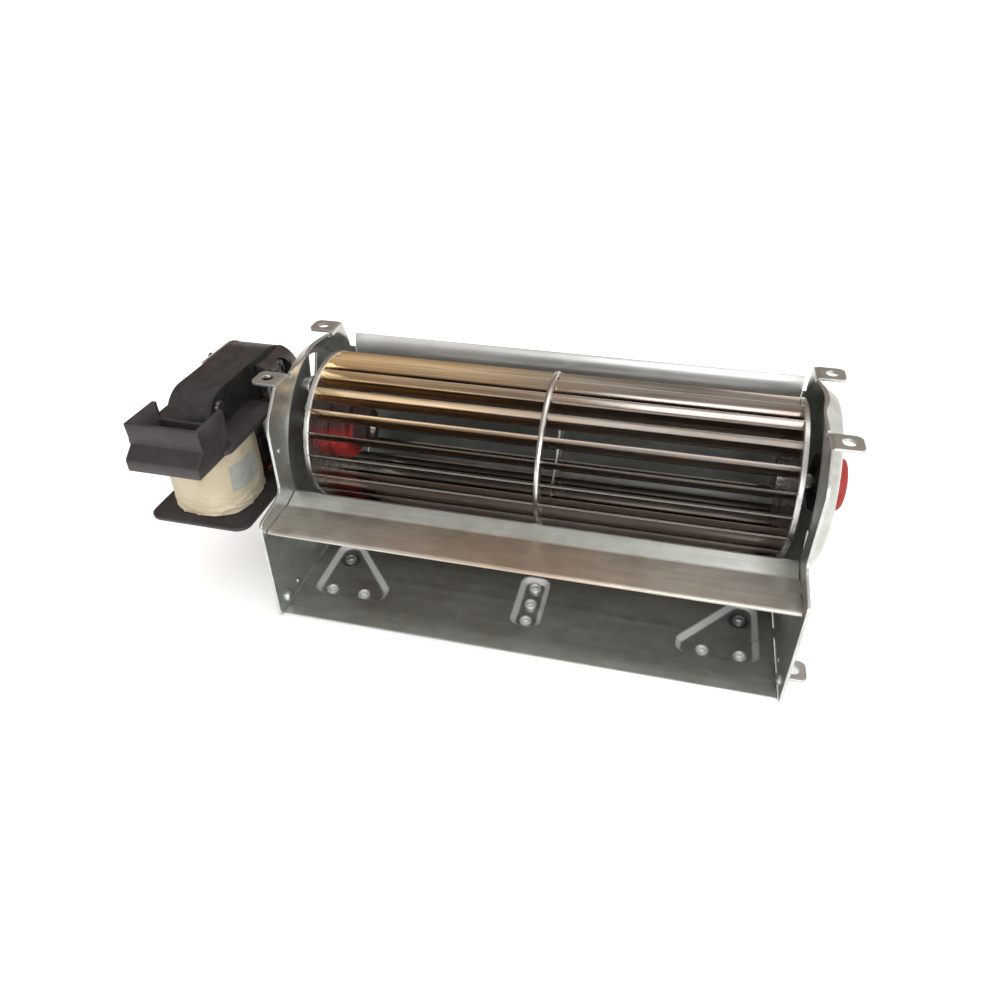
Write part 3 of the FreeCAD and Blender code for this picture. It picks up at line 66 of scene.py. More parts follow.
class Shading:
    """Shader nodes of a material or of the world, fed by one vector."""

    def __init__(self, tree, coordinates):
        self.nodes = tree.nodes
        self.links = tree.links
        self.place = self.nodes.new("ShaderNodeTexCoord").outputs[coordinates]

    def feed(self, socket, value):
        """Gives a socket a number, a colour, a vector or the output of another node."""
        if isinstance(value, bpy.types.NodeSocket):
            self.links.new(value, socket)
        elif isinstance(value, (int, float)):
            socket.default_value = value
        else:
            socket.default_value = (*value, 1.0)[:len(socket.default_value)]

    def axis(self, name):
        """One of the vector's three parts."""
        split = self.nodes.new("ShaderNodeSeparateXYZ")
        self.feed(split.inputs["Vector"], self.place)
        return split.outputs[name]

    def measure(self, operation, first, second):
        """A number that a vector operation makes of two vectors."""
        step = self.nodes.new("ShaderNodeVectorMath")
        step.operation = operation
        self.feed(step.inputs[0], first)
        self.feed(step.inputs[1], second)
        return step.outputs["Value"]

    def spread(self, value, start, end, kind="SMOOTHSTEP"):
        """A value that goes from 0 to 1 while another goes from start to end."""
        spread = self.nodes.new("ShaderNodeMapRange")
        spread.interpolation_type = kind
        spread.inputs["From Min"].default_value = start
        spread.inputs["From Max"].default_value = end
        self.feed(spread.inputs["Value"], value)
        return spread.outputs["Result"]

    def ramp(self, value, *stops):
        """Colours or greys at places from 0 to 1."""
        ramp = self.nodes.new("ShaderNodeValToRGB")
        elements = ramp.color_ramp.elements
        while len(elements) < len(stops):
            elements.new(0.5)
        for element, (place, color) in zip(elements, stops):
            element.position = place
            if isinstance(color, (int, float)):
                color = (color, color, color)
            element.color = (*color, 1.0)
        self.feed(ramp.inputs["Fac"], value)
        return ramp.outputs["Color"]

    def mix(self, share, first, second, kind="MIX"):
        """First and second may each be a colour or the output of a node."""
        mix = self.nodes.new("ShaderNodeMix")
        mix.data_type = "RGBA"
        mix.blend_type = kind
        self.feed(mix.inputs[0], share)
        self.feed(mix.inputs[6], first)
        self.feed(mix.inputs[7], second)
        return mix.outputs[2]

    def product(self, first, second):
        return self.mix(1.0, first, second, "MULTIPLY")


class Surface(Shading):
    """A procedural material round one Principled shader; its vector is a place on the object."""

    def __init__(self, name, color, metallic, roughness):
        self.material = bpy.data.materials.new(name)
        self.material.use_nodes = True
        super().__init__(self.material.node_tree, "Object")
        self.shader = self.nodes["Principled BSDF"]
        self.set("Base Color", color)
        self.set("Metallic", metallic)
        self.set("Roughness", roughness)
        self.normal = None

    def set(self, socket, value):
        self.feed(self.shader.inputs[socket], value)

    def stretched(self, stretch):
        mapping = self.nodes.new("ShaderNodeMapping")
        mapping.inputs["Scale"].default_value = stretch
        self.feed(mapping.inputs["Vector"], self.place)
        return mapping.outputs["Vector"]

    def noise(self, grain, detail, roughness, stretch=EVEN, shift=0.0):
        """Noise with a grain size in metres, as a value from 0 to 1."""
        texture = self.nodes.new("ShaderNodeTexNoise")
        texture.noise_dimensions = "4D"
        texture.inputs["W"].default_value = shift
        texture.inputs["Scale"].default_value = 1.0 / grain
        texture.inputs["Detail"].default_value = detail
        texture.inputs["Roughness"].default_value = roughness
        self.feed(texture.inputs["Vector"], self.stretched(stretch))
        return texture.outputs["Fac"]

    def mottle(self, grain, first, second, detail, roughness, stretch=EVEN, shift=0.0,
               stops=(0.3, 0.7)):
        """Noise that runs from one colour or grey to another between two stops of its value."""
        value = self.noise(grain, detail, roughness, stretch, shift)
        return self.ramp(value, (stops[0], first), (stops[1], second))

    def cells(self, grain, stretch):
        """Random grey per cell, like the crystals of a zinc coat."""
        texture = self.nodes.new("ShaderNodeTexVoronoi")
        texture.inputs["Scale"].default_value = 1.0 / grain
        self.feed(texture.inputs["Vector"], self.stretched(stretch))
        return texture.outputs["Color"]

    def bands(self, pitch, direction, distortion=0.0):
        """Even bands across one axis, a given number of metres apart."""
        texture = self.nodes.new("ShaderNodeTexWave")
        texture.bands_direction = direction
        texture.inputs["Scale"].default_value = 2 * math.pi / (WAVE_RADIANS * pitch)
        texture.inputs["Distortion"].default_value = distortion
        self.feed(texture.inputs["Vector"], self.place)
        return texture.outputs["Fac"]

    def along(self, axis, start, end):
        """A value that goes from 0 to 1 between two places along an axis, in millimetres."""
        return self.spread(self.axis(axis), start * MM, end * MM)

    def spot(self, centre, radius):
        """A value that is 1 near a place and falls to 0 at a radius, in metres."""
        return self.spread(self.measure("DISTANCE", self.place, centre), radius, 0.6 * radius)

    def tinted(self, mask, color, tint):
        """A colour multiplied by a tint where the mask is 1."""
        return self.mix(mask, color, self.product(color, tint))

    def bevel(self, width):
        bevel = self.nodes.new("ShaderNodeBevel")
        bevel.samples = BEVEL_SAMPLES
        bevel.inputs["Radius"].default_value = width
        return bevel.outputs["Normal"]

    def edges(self, width):
        """A mask that is bright along sharp edges: partly rubbed or freshly cut metal, partly a
        painted highlight where edges catch the light.
        """
        flat = self.nodes.new("ShaderNodeNewGeometry").outputs["Normal"]
        agreement = self.measure("DOT_PRODUCT", self.bevel(width), flat)
        return self.spread(agreement, *EDGE_AGREEMENT, "LINEAR")

    def soft_edges(self, width):
        """Rounds the look of every sharp edge."""
        self.normal = self.bevel(width)
        self.set("Normal", self.normal)

    def bump(self, height, depth, strength):
        """Relief of a depth in metres, laid over the relief that is there already."""
        bump = self.nodes.new("ShaderNodeBump")
        bump.inputs["Strength"].default_value = strength
        bump.inputs["Distance"].default_value = depth
        self.feed(bump.inputs["Height"], height)
        if self.normal is not None:
            self.feed(bump.inputs["Normal"], self.normal)
        self.normal = bump.outputs["Normal"]
        self.set("Normal", self.normal)

    def fine_grain(self, grain, depth, strength):
        self.bump(self.noise(grain, 3, 0.6), depth, strength)


# Sheet steel

SHEET_RUN = ("X", -90, 128)    # from end to end of the sheets, for masks along them
# Colour of the painted highlights on the scroll
PAINTED_HIGHLIGHT_ZINC = (0.86, 0.87, 0.87)
REAR_FOOT_HOLES = ((-60.6 * MM, -9.7 * MM, 1.5 * MM), (99.4 * MM, -9.7 * MM, 1.5 * MM))


def tongue_painted_reflection(steel, coat):
    """A painted brown reflection on the tongue's front face, strongest in the middle."""
    middle = steel.ramp(steel.along(*SHEET_RUN), (0.08, 0.3), (0.4, 1.0), (0.6, 1.0), (0.92, 0.25))
    # Painted reflection of something brown in front of the tongue.
    brown = steel.product(steel.along("Y", -28.5, -30.5), middle)
    return steel.tinted(brown, coat, (1.0, 0.80, 0.68))


def scroll_painted_light(steel, coat):
    """Painted shade behind the impeller and in the rear foot holes; painted highlights on the walls
    of the feet and on the rear lip.
    """
    # Painted shade on the back wall behind the impeller.
    shade_behind_impeller = steel.product(steel.along("Y", -22, 2), steel.along("Z", 68, 56))
    coat = steel.tinted(shade_behind_impeller, coat, (0.46, 0.46, 0.46))
    # Painted highlights on the walls of the feet and on the rear lip, brightest at the lip's ends;
    # there the sheet is also less metallic.
    foot_walls = steel.product(steel.along("Z", 0.85, 1.3), steel.along("Z", 2.97, 2.6))
    ends = steel.ramp(steel.along(*SHEET_RUN), (0.1, 0.75), (0.4, 0.34), (0.6, 0.34), (0.9, 0.80))
    lip = steel.product(steel.along("Z", 66, 76), ends)
    pale = steel.mix(1.0, foot_walls, lip, "ADD")
    coat = steel.mix(pale, coat, PAINTED_HIGHLIGHT_ZINC)
    # Painted shade in the rear foot holes.
    for hole in REAR_FOOT_HOLES:
        coat = steel.mix(steel.spot(hole, 5 * MM), coat, (0.16, 0.16, 0.16))
    steel.set("Metallic", steel.ramp(pale, (0.0, 0.88), (1.0, 0.45)))
    return coat


def galvanised_sheet(name="galvanised_sheet", fold=0.5 * MM, marks=None):
    """Zinc-coated steel: faint crystals, rolling streaks along X, smudges, and bright edges that
    are partly cut metal and partly painted highlight; a marks function, if given, paints light and
    shade.
    """
    steel = Surface(name, (0.57, 0.60, 0.60), 0.88, 0.34)
    crystals = steel.ramp(steel.cells(4 * MM, (0.7, 1, 1)),
                          (0.0, (0.62, 0.65, 0.63)), (1.0, (0.71, 0.74, 0.72)))
    streaks = steel.mottle(2 * MM, 0.82, 1.0, 5, 0.6, (0.06, 1, 1))
    smudges = steel.mottle(30 * MM, (0.70, 0.66, 0.60), WHITE, 6, 0.65, stops=(0.30, 0.58))
    coat = steel.mix(0.75, steel.product(crystals, streaks), smudges, "MULTIPLY")
    # Painted light and shade of one sheet, from its marks function.
    if marks:
        coat = marks(steel, coat)
    # Lighter along edges: partly cut metal, partly painted highlight.
    steel.set("Base Color", steel.mix(steel.edges(0.5 * MM), coat, (0.90, 0.90, 0.89)))
    steel.set("Roughness", steel.mottle(6 * MM, 0.26, 0.42, 6, 0.7, (0.3, 1, 1), 3.0, (0.3, 0.72)))
    steel.soft_edges(fold)
    steel.bump(steel.noise(60 * MM, 2, 0.4), 0.5 * MM, 0.35)
    steel.bump(steel.noise(0.8 * MM, 3, 0.6, (0.1, 1, 1), 5.0), 0.02 * MM, 0.4)
    return steel.material


# Other metals

def blade_metal():
    """Thin rolled blades with fine lines along them; a painted warm reflection makes them golden at
    the top left, and painted shade makes them darker low down.
    """
    metal = Surface("blade_metal", (0.45, 0.40, 0.36), 1.0, 0.22)
    # Painted warm reflection on the blades at the top left.
    warm_reflection = metal.product(metal.along("X", 55, -40), metal.along("Z", 60, 76))
    golden = metal.mottle(30 * MM, (0.92, 0.60, 0.28), (0.66, 0.52, 0.38), 3, 0.5, (0.4, 1, 1))
    plain = metal.mottle(40 * MM, (0.29, 0.235, 0.20), (0.47, 0.42, 0.385), 3, 0.5, (0.5, 1, 1))
    lines = metal.mottle(0.7 * MM, 0.60, 1.0, 3, 0.6, (0.02, 1, 1))
    blade_lit_tone = metal.product(metal.mix(warm_reflection, plain, golden), lines)
    # Painted shade: the blades darken low down.
    blade_lit_tone = metal.tinted(metal.along("Z", 76, 52), blade_lit_tone, (0.55, 0.53, 0.52))
    # Lighter along edges, partly painted highlight.
    metal.set("Base Color", metal.mix(metal.edges(0.35 * MM), blade_lit_tone, (0.95, 0.93, 0.90)))
    metal.set("Roughness", metal.mottle(5 * MM, 0.10, 0.24, 5, 0.7, (0.1, 1, 1), 2.0))
    metal.bump(metal.noise(12 * MM, 2, 0.5, (0.15, 1, 1)), 0.15 * MM, 0.4)
    return metal.material


def disc_metal():
    metal = Surface("disc_metal", (0.58, 0.58, 0.57), 1.0, 0.3)
    tone = metal.mottle(7 * MM, (0.60, 0.59, 0.57), (0.84, 0.84, 0.82), 5, 0.6)
    # Lighter along edges, partly painted highlight.
    metal.set("Base Color", metal.mix(metal.edges(0.4 * MM), tone, (0.90, 0.90, 0.88)))
    metal.set("Roughness", metal.mottle(3 * MM, 0.2, 0.42, 5, 0.7, shift=2.0))
    metal.soft_edges(0.2 * MM)
    metal.fine_grain(1.5 * MM, 0.03 * MM, 0.4)
    return metal.material


def bright_steel(name="bright_steel", shade=1.0):
    """Turned steel; a shade below 1 darkens it."""
    metal = Surface(name, (0.7 * shade, 0.7 * shade, 0.71 * shade), 1.0, 0.22)
    dull = (0.5 * shade, 0.49 * shade, 0.47 * shade)
    metal.set("Base Color", metal.mottle(2 * MM, dull, 0.74 * shade, 5, 0.6))
    metal.set("Roughness", metal.mottle(1 * MM, 0.14, 0.36, 4, 0.7, shift=2.0))
    metal.soft_edges(0.2 * MM)
    metal.fine_grain(0.5 * MM, 0.01 * MM, 0.4)
    return metal.material


def sintered_bronze():
    metal = Surface("sintered_bronze", (0.55, 0.42, 0.24), 1.0, 0.45)
    metal.set("Base Color", metal.mottle(0.8 * MM, (0.34, 0.24, 0.12), (0.62, 0.48, 0.28), 4, 0.7))
    metal.set("Roughness", metal.mottle(1 * MM, 0.36, 0.6, 4, 0.7))
    metal.fine_grain(0.3 * MM, 0.03 * MM, 0.5)
    return metal.material


def lamination_steel():
    """Black-varnished stack; the sheet edges show as fine lines across X."""
    metal = Surface("lamination_steel", (0.02, 0.02, 0.021), 0.0, 0.35)
    sheets = metal.bands(0.65 * MM, "X", 0.3)
    varnish = metal.mottle(4 * MM, (0.022, 0.020, 0.021), (0.050, 0.048, 0.050), 5, 0.6,
                           stops=(0.35, 0.75))
    metal.set("Base Color", metal.product(varnish, metal.ramp(sheets, (0.0, 0.45), (0.6, 1.0))))
    metal.set("Roughness", metal.mottle(2 * MM, 0.22, 0.5, 5, 0.7))
    metal.soft_edges(0.25 * MM)
    metal.bump(sheets, 0.12 * MM, 0.6)
    metal.bump(metal.noise(3 * MM, 4, 0.6), 0.15 * MM, 0.3)
    return metal.material


def black_casting():
    """Die-cast bridge in thick glossy black paint."""
    paint = Surface("black_casting", (0.012, 0.011, 0.011), 0.0, 0.2)
    tone = paint.mottle(6 * MM, (0.014, 0.013, 0.014), (0.042, 0.039, 0.040), 4, 0.6,
                        stops=(0.3, 0.8))
    paint.set("Base Color", tone)
    paint.set("Roughness", paint.mottle(2.5 * MM, 0.10, 0.36, 5, 0.7, stops=(0.3, 0.75)))
    paint.set("Coat Weight", 1.0)
    paint.set("Coat Roughness", 0.12)
    paint.soft_edges(0.5 * MM)
    paint.bump(paint.noise(2.4 * MM, 4, 0.6), 0.3 * MM, 0.6)
    return paint.material


def copper():
    """Enamelled wire, wound in even turns round the leg."""
    metal = Surface("copper", (0.6, 0.28, 0.14), 1.0, 0.3)
    turns = metal.bands(0.32 * MM, "Z")
    metal.set("Base Color", metal.ramp(turns, (0.0, (0.18, 0.06, 0.03)), (0.6, (0.62, 0.27, 0.13))))
    metal.set("Roughness", metal.mottle(1 * MM, 0.22, 0.42, 4, 0.6))
    metal.bump(turns, 0.1 * MM, 0.8)
    return metal.material


def tinned_brass():
    metal = Surface("tinned_brass", (0.75, 0.72, 0.62), 1.0, 0.25)
    metal.set("Base Color", metal.mottle(3 * MM, (0.52, 0.46, 0.34), (0.80, 0.77, 0.68), 4, 0.6))
    metal.set("Roughness", metal.mottle(1 * MM, 0.16, 0.38, 4, 0.6))
    metal.soft_edges(0.15 * MM)
    metal.fine_grain(0.6 * MM, 0.01 * MM, 0.4)
    return metal.material


def rotor_metal():
    """Ground rotor, whose sheets show as fine lines across X."""
    metal = Surface("rotor_metal", (0.62, 0.62, 0.62), 1.0, 0.35)
    metal.set("Base Color", metal.ramp(metal.bands(0.5 * MM, "X"), (0.0, 0.36), (0.6, 0.62)))
    metal.set("Roughness", metal.mottle(1 * MM, 0.24, 0.46, 4, 0.6))
    metal.fine_grain(0.6 * MM, 0.02 * MM, 0.4)
    return metal.material


def brass_spacer():
    """Brass with turning marks across X."""
    metal = Surface("brass_spacer", (0.72, 0.58, 0.3), 1.0, 0.3)
    metal.set("Base Color", metal.mottle(1.5 * MM, (0.46, 0.34, 0.15), (0.74, 0.60, 0.32), 4, 0.6))
    metal.set("Roughness", metal.ramp(metal.bands(0.2 * MM, "X", 1.0), (0.0, 0.2), (1.0, 0.4)))
    metal.soft_edges(0.2 * MM)
    metal.fine_grain(0.6 * MM, 0.01 * MM, 0.4)
    return metal.material


# Plastic, rubber and tape

def black_plastic():
    """Moulded plastic, slightly brown, with a dull skin and dust."""
    plastic = Surface("black_plastic", (0.02, 0.018, 0.017), 0.0, 0.4)
    dust = plastic.mottle(14 * MM, (0.028, 0.025, 0.026), (0.062, 0.056, 0.057), 6, 0.7,
                          stops=(0.45, 0.8))
    plastic.set("Base Color", plastic.mix(plastic.edges(0.4 * MM), dust, (0.072, 0.066, 0.066)))
    plastic.set("Roughness", plastic.mottle(3 * MM, 0.28, 0.5, 5, 0.7))
    plastic.soft_edges(0.3 * MM)
    plastic.fine_grain(0.5 * MM, 0.02 * MM, 0.5)
    return plastic.material


def washer_plastic():
    plastic = Surface("washer_plastic", (0.85, 0.84, 0.8), 0.0, 0.45)
    tone = plastic.mottle(1.5 * MM, (0.68, 0.66, 0.60), (0.86, 0.85, 0.81), 4, 0.6)
    plastic.set("Base Color", tone)
    plastic.set("Roughness", plastic.mottle(1 * MM, 0.34, 0.56, 4, 0.6))
    plastic.fine_grain(0.5 * MM, 0.02 * MM, 0.4)
    return plastic.material


def red_rubber(name="red_rubber", painted_shade_spans=()):
    """Matt red rubber; painted shade darkens it along each axis from the first place given to the
    second.
    """
    rubber = Surface(name, (0.45, 0.05, 0.03), 0.0, 0.6)
    red = rubber.mottle(3 * MM, (0.24, 0.014, 0.011), (0.44, 0.034, 0.028), 5, 0.6,
                        stops=(0.3, 0.75))
    for axis, unmarked, black in painted_shade_spans:
        # Painted shade, darkest at the second place.
        red = rubber.mix(rubber.along(axis, unmarked, black), red, (0.022, 0.010, 0.009))
    rubber.set("Base Color", red)
    rubber.set("Roughness", rubber.mottle(1.5 * MM, 0.45, 0.7, 4, 0.6))
    rubber.soft_edges(0.3 * MM)
    rubber.fine_grain(0.4 * MM, 0.02 * MM, 0.6)
    return rubber.material


def cream_tape():
    """Aged cotton tape round the winding: weave, creases, stains, and a greyish patch that is a
    painted reflection.
    """
    tape = Surface("cream_tape", (0.8, 0.74, 0.62), 0.0, 0.75)
    unmarked = tape.mottle(16 * MM, (0.52, 0.44, 0.30), (0.65, 0.58, 0.44), 4, 0.5, stops=(0.3, 0.65))
    stain = tape.mottle(22 * MM, WHITE, (0.70, 0.66, 0.60), 5, 0.7, shift=4.0, stops=(0.52, 0.72))
    aged = tape.mix(0.8, unmarked, stain, "MULTIPLY")
    # Painted reflection: a greyish patch on the tape's front.
    reflection_patch = tape.along("X", -95, -94)
    for axis, start, end in (("Y", -33, -32.4), ("Y", -17.6, -18.2), ("Z", 46.4, 47.2),
                             ("Z", 58.6, 57.8)):
        reflection_patch = tape.product(reflection_patch, tape.along(axis, start, end))
    grey = tape.mottle(3 * MM, (0.30, 0.32, 0.29), (0.42, 0.44, 0.40), 4, 0.6)
    tape.set("Base Color", tape.mix(reflection_patch, aged, grey))
    tape.set("Roughness", tape.mottle(2 * MM, 0.55, 0.85, 4, 0.6))
    tape.set("Sheen Weight", 0.15)
    tape.bump(tape.noise(5 * MM, 3, 0.5, (1, 1, 0.5)), 0.5 * MM, 0.5)
    tape.bump(tape.bands(0.45 * MM, "Z", 1.0), 0.04 * MM, 0.4)
    return tape.material


# Finishes of the CAD nodes

makers = {
    "galvanised_sheet": galvanised_sheet, "blade_metal": blade_metal, "disc_metal": disc_metal,
    "red_rubber": red_rubber, "bright_steel": bright_steel, "sintered_bronze": sintered_bronze,
    "lamination_steel": lamination_steel, "copper": copper, "black_plastic": black_plastic,
    "cream_tape": cream_tape, "tinned_brass": tinned_brass, "black_casting": black_casting,
    "rotor_metal": rotor_metal, "washer_plastic": washer_plastic, "brass_spacer": brass_spacer,
}
finishes = {slot: make() for slot, make in makers.items()}
own_finishes = {
    "scroll_housing": galvanised_sheet("scroll_sheet", 1.2 * MM, scroll_painted_light),
    "vortex_tongue": galvanised_sheet("tongue_sheet", marks=tongue_painted_reflection),
    # The stub hub's steel has its colour darkened to a third.
    "stub_hub": bright_steel("darkened_steel", 0.35),
    # Painted shade: the coupling darkens towards the inside of the impeller and upwards, the
    # bearing mount towards the impeller.
    "rubber_coupling": red_rubber("coupling_rubber", (("X", -61.5, -59), ("Z", 54, 60))),
    "bearing_mount": red_rubber("mount_rubber", (("X", 121.6, 121.0),)),
}
for part in frame["record"]["subparts"]:
    materials = frame["nodes"][part["node"]].data.materials
    materials.clear()
    materials.append(own_finishes.get(part["node"], finishes[part["material_slot"]]))


# Mesh building

def box_of(node):
    low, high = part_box(node)
    return Vector(low), Vector(high)


def smooth_step(value, start, end):
    share = min(max((value - start) / (end - start), 0.0), 1.0)
    return share * share * (3 - 2 * share)


def angles(count):
    """Directions of the points of a full circle, in radians."""
    return [2 * math.pi * index / count for index in range(count)]


def add_piece(name, mesh_parts, slot, body="housing", crease=35.0):
    """One object from (points, faces) pairs; edges sharper than the crease angle stay sharp."""
    points, faces = [], []
    for part_points, part_faces in mesh_parts:
        first = len(points)
        points.extend(part_points)
        faces.extend([tuple(first + index for index in face) for face in part_faces])
    mesh = bpy.data.meshes.new(name)
    mesh.from_pydata(points, [], faces)
    work = bmesh.new()
    work.from_mesh(mesh)
    bmesh.ops.recalc_face_normals(work, faces=work.faces)
    work.to_mesh(mesh)
    work.free()
    mesh.polygons.foreach_set("use_smooth", [True] * len(mesh.polygons))
    mesh.set_sharp_from_angle(angle=math.radians(crease))
    mesh.materials.append(finishes[slot])
    piece = bpy.data.objects.new(name, mesh)
    bpy.context.collection.objects.link(piece)
    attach(piece, body)
    return piece


def ringed(rings, closed=False):
    """Points and faces of a skin over rings of as many points each, capped or closed on itself."""
    total, count = len(rings), len(rings[0])
    points = [point for ring in rings for point in ring]
    faces = []
    for row in range(total if closed else total - 1):
        here = row * count
        above = (row + 1) % total * count
        for step in range(count):
            after = (step + 1) % count
            faces.append((here + step, here + after, above + after, above + step))
    if not closed:
        faces.append(tuple(range(count))[::-1])
        faces.append(tuple(range((total - 1) * count, total * count)))
    return points, faces


# Screws and nuts

shaft_low, shaft_high = box_of("rotor_shaft")
AXIS_Y = (shaft_low.y + shaft_high.y) / 2
AXIS_Z = (shaft_low.z + shaft_high.z) / 2

SHANK_RADIUS = 2.0 * MM
HEAD_RADIUS = 3.6 * MM
HEAD_HEIGHT = 2.4 * MM
HEAD_EDGE = 0.15 * MM
DOME_STEPS = 18
TIP_LENGTH = 0.5 * MM
THREAD_LENGTH = 9 * MM
THREAD_PITCH = 0.7 * MM
RECESS_ARM = 1.75 * MM
RECESS_HALF = 0.42 * MM
RECESS_DEPTH = 1.3 * MM
NUT_CORNER = 3.6 * MM
NUT_BORE = 1.95 * MM
NUT_BEVEL = 0.25 * MM
NUT_SLANT = 0.6


def recess(across, up):
    """Depth of the cross recess at a point of a screw's head, in metres."""
    level_arm = max(abs(across) - RECESS_ARM, abs(up) - RECESS_HALF)
    upright_arm = max(abs(up) - RECESS_ARM, abs(across) - RECESS_HALF)
    return RECESS_DEPTH * smooth_step(-min(level_arm, upright_arm), -0.10 * MM, 0.22 * MM)


def cross_screw(tip, top, centre_z, turn):
    """A pan-head screw along X with rolled threads at its tip and a cross recess in its head."""
    seat = top - HEAD_HEIGHT
    place = tip + TIP_LENGTH
    outline = [(tip, 0.6 * SHANK_RADIUS), (place, 0.88 * SHANK_RADIUS)]
    while place < tip + THREAD_LENGTH:
        outline.append((place + THREAD_PITCH / 2, SHANK_RADIUS))
        outline.append((place + THREAD_PITCH, 0.86 * SHANK_RADIUS))
        place += THREAD_PITCH
    outline += [(place + 0.4 * MM, SHANK_RADIUS), (seat, SHANK_RADIUS),
                (seat, HEAD_RADIUS - HEAD_EDGE), (seat + HEAD_EDGE, HEAD_RADIUS)]
    for step in range(DOME_STEPS + 1):
        radius = HEAD_RADIUS * (1 - step / DOME_STEPS) + 0.02 * MM
        rise = 0.5 + 0.5 * math.sqrt(max(0.0, 1 - (radius / HEAD_RADIUS) ** 2.6))
        outline.append((seat + HEAD_HEIGHT * rise, radius))
    rings = []
    for place, radius in outline:
        ring = []
        for angle in angles(72):
            across = radius * math.cos(angle)
            up = radius * math.sin(angle)
            sunk = 0.0
            if place > seat + 0.3 * HEAD_HEIGHT:
                sunk = recess(across * math.cos(turn) + up * math.sin(turn),
                              up * math.cos(turn) - across * math.sin(turn))
            ring.append((place - sunk, AXIS_Y + across, centre_z + up))
        rings.append(ring)
    return ringed(rings)


def screw_set(name, node, slot, turns):
    """Two screws in place of a node's, above and below the shaft, with their recesses turned."""
    low, high = box_of(node)
    height = (high.z - low.z) / 2 - HEAD_RADIUS
    parts = []
    for sign, turn in zip((1, -1), turns):
        parts.append(cross_screw(low.x, high.x, AXIS_Z + sign * height, turn))
    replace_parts(add_piece(name, parts, slot), node)


def chamfered_nuts():
    """Hexagon nuts on the tips of the bridge screws, with turned corners."""
    low, high = box_of("bridge_nuts")
    flat = (high.y - low.y) / 2
    turned = 0.97 * flat
    height = (high.z - low.z) / 2 - NUT_CORNER
    sixth = math.pi / 3
    # X of each ring, its radius or None for the hexagon, and how far the corners lean along X
    stations = [(low.x, NUT_BORE + NUT_BEVEL, 0), (low.x, turned, 0), (low.x, None, NUT_SLANT),
                (high.x, None, -NUT_SLANT), (high.x, turned, 0), (high.x, NUT_BORE, 0),
                (low.x + NUT_BEVEL, NUT_BORE, 0)]
    parts = []
    for sign in (1, -1):
        rings = []
        for place, radius, lean in stations:
            ring = []
            for angle in angles(96):
                from_flat = (angle + sixth / 2) % sixth - sixth / 2
                reach = flat / math.cos(from_flat) if radius is None else radius
                ring.append((place + (reach - turned) * lean, AXIS_Y + reach * math.cos(angle),
                             AXIS_Z + sign * height + reach * math.sin(angle)))
            rings.append(ring)
        parts.append(ringed(rings, closed=True))
    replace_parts(add_piece("hexagon_nuts", parts, "black_casting"), "bridge_nuts")


# Coil

WRAP_CORNER = 12.3 * MM
WRAP_SHRINK = 0.2 * MM
WRAP_ROWS = 90
WRAP_SWELL = (0.02, 1.1)       # least and most, in millimetres
WRAP_SEAM = 0.50 / (2 * math.pi)
WRAP_HEM = 0.3 * MM

FLANGE = 2 * MM
FLANGE_CORNER = 5 * MM
FLANGE_EDGE = 0.4 * MM
DECK_HEIGHT = 35 * MM          # top of the upper flange over the bottom of the lower one
TUBE_WALL = 1 * MM
TUBE_CORNER = 1 * MM
BORE_GAP = 0.15 * MM
BORE_CORNER = 0.3 * MM

SHROUD_LEFT = 8.3 * MM         # from the leg's middle
SHROUD_RIGHT = 18.9 * MM
SHROUD_STEP = 4.2 * MM         # from the sloping front's foot to its upper part
SHROUD_DEPTH = 20.4 * MM
SHROUD_WALL = 1.4 * MM
SHROUD_EDGE = 0.3 * MM
SHROUD_DIP = 6.5 * MM          # of the rear wall below the rim


def round_square(half, corner, arc_steps, flat_steps):
    """Points and outward directions round a square with rounded corners."""
    inner = half - corner
    outline = []
    for quarter in range(4):
        start = quarter * math.pi / 2
        diagonal = start + math.pi / 4
        centre = Vector((math.cos(diagonal), math.sin(diagonal))) * (inner * math.sqrt(2))
        for step in range(arc_steps):
            angle = start + step / arc_steps * math.pi / 2
            out = Vector((math.cos(angle), math.sin(angle)))
            outline.append((centre + out * corner, out))
        out = Vector((math.cos(start + math.pi / 2), math.sin(start + math.pi / 2)))
        first = centre + out * corner
        run = Vector((-out.y, out.x)) * (2 * inner)
        for step in range(flat_steps):
            outline.append((first + run * (step / flat_steps), out))
    return outline


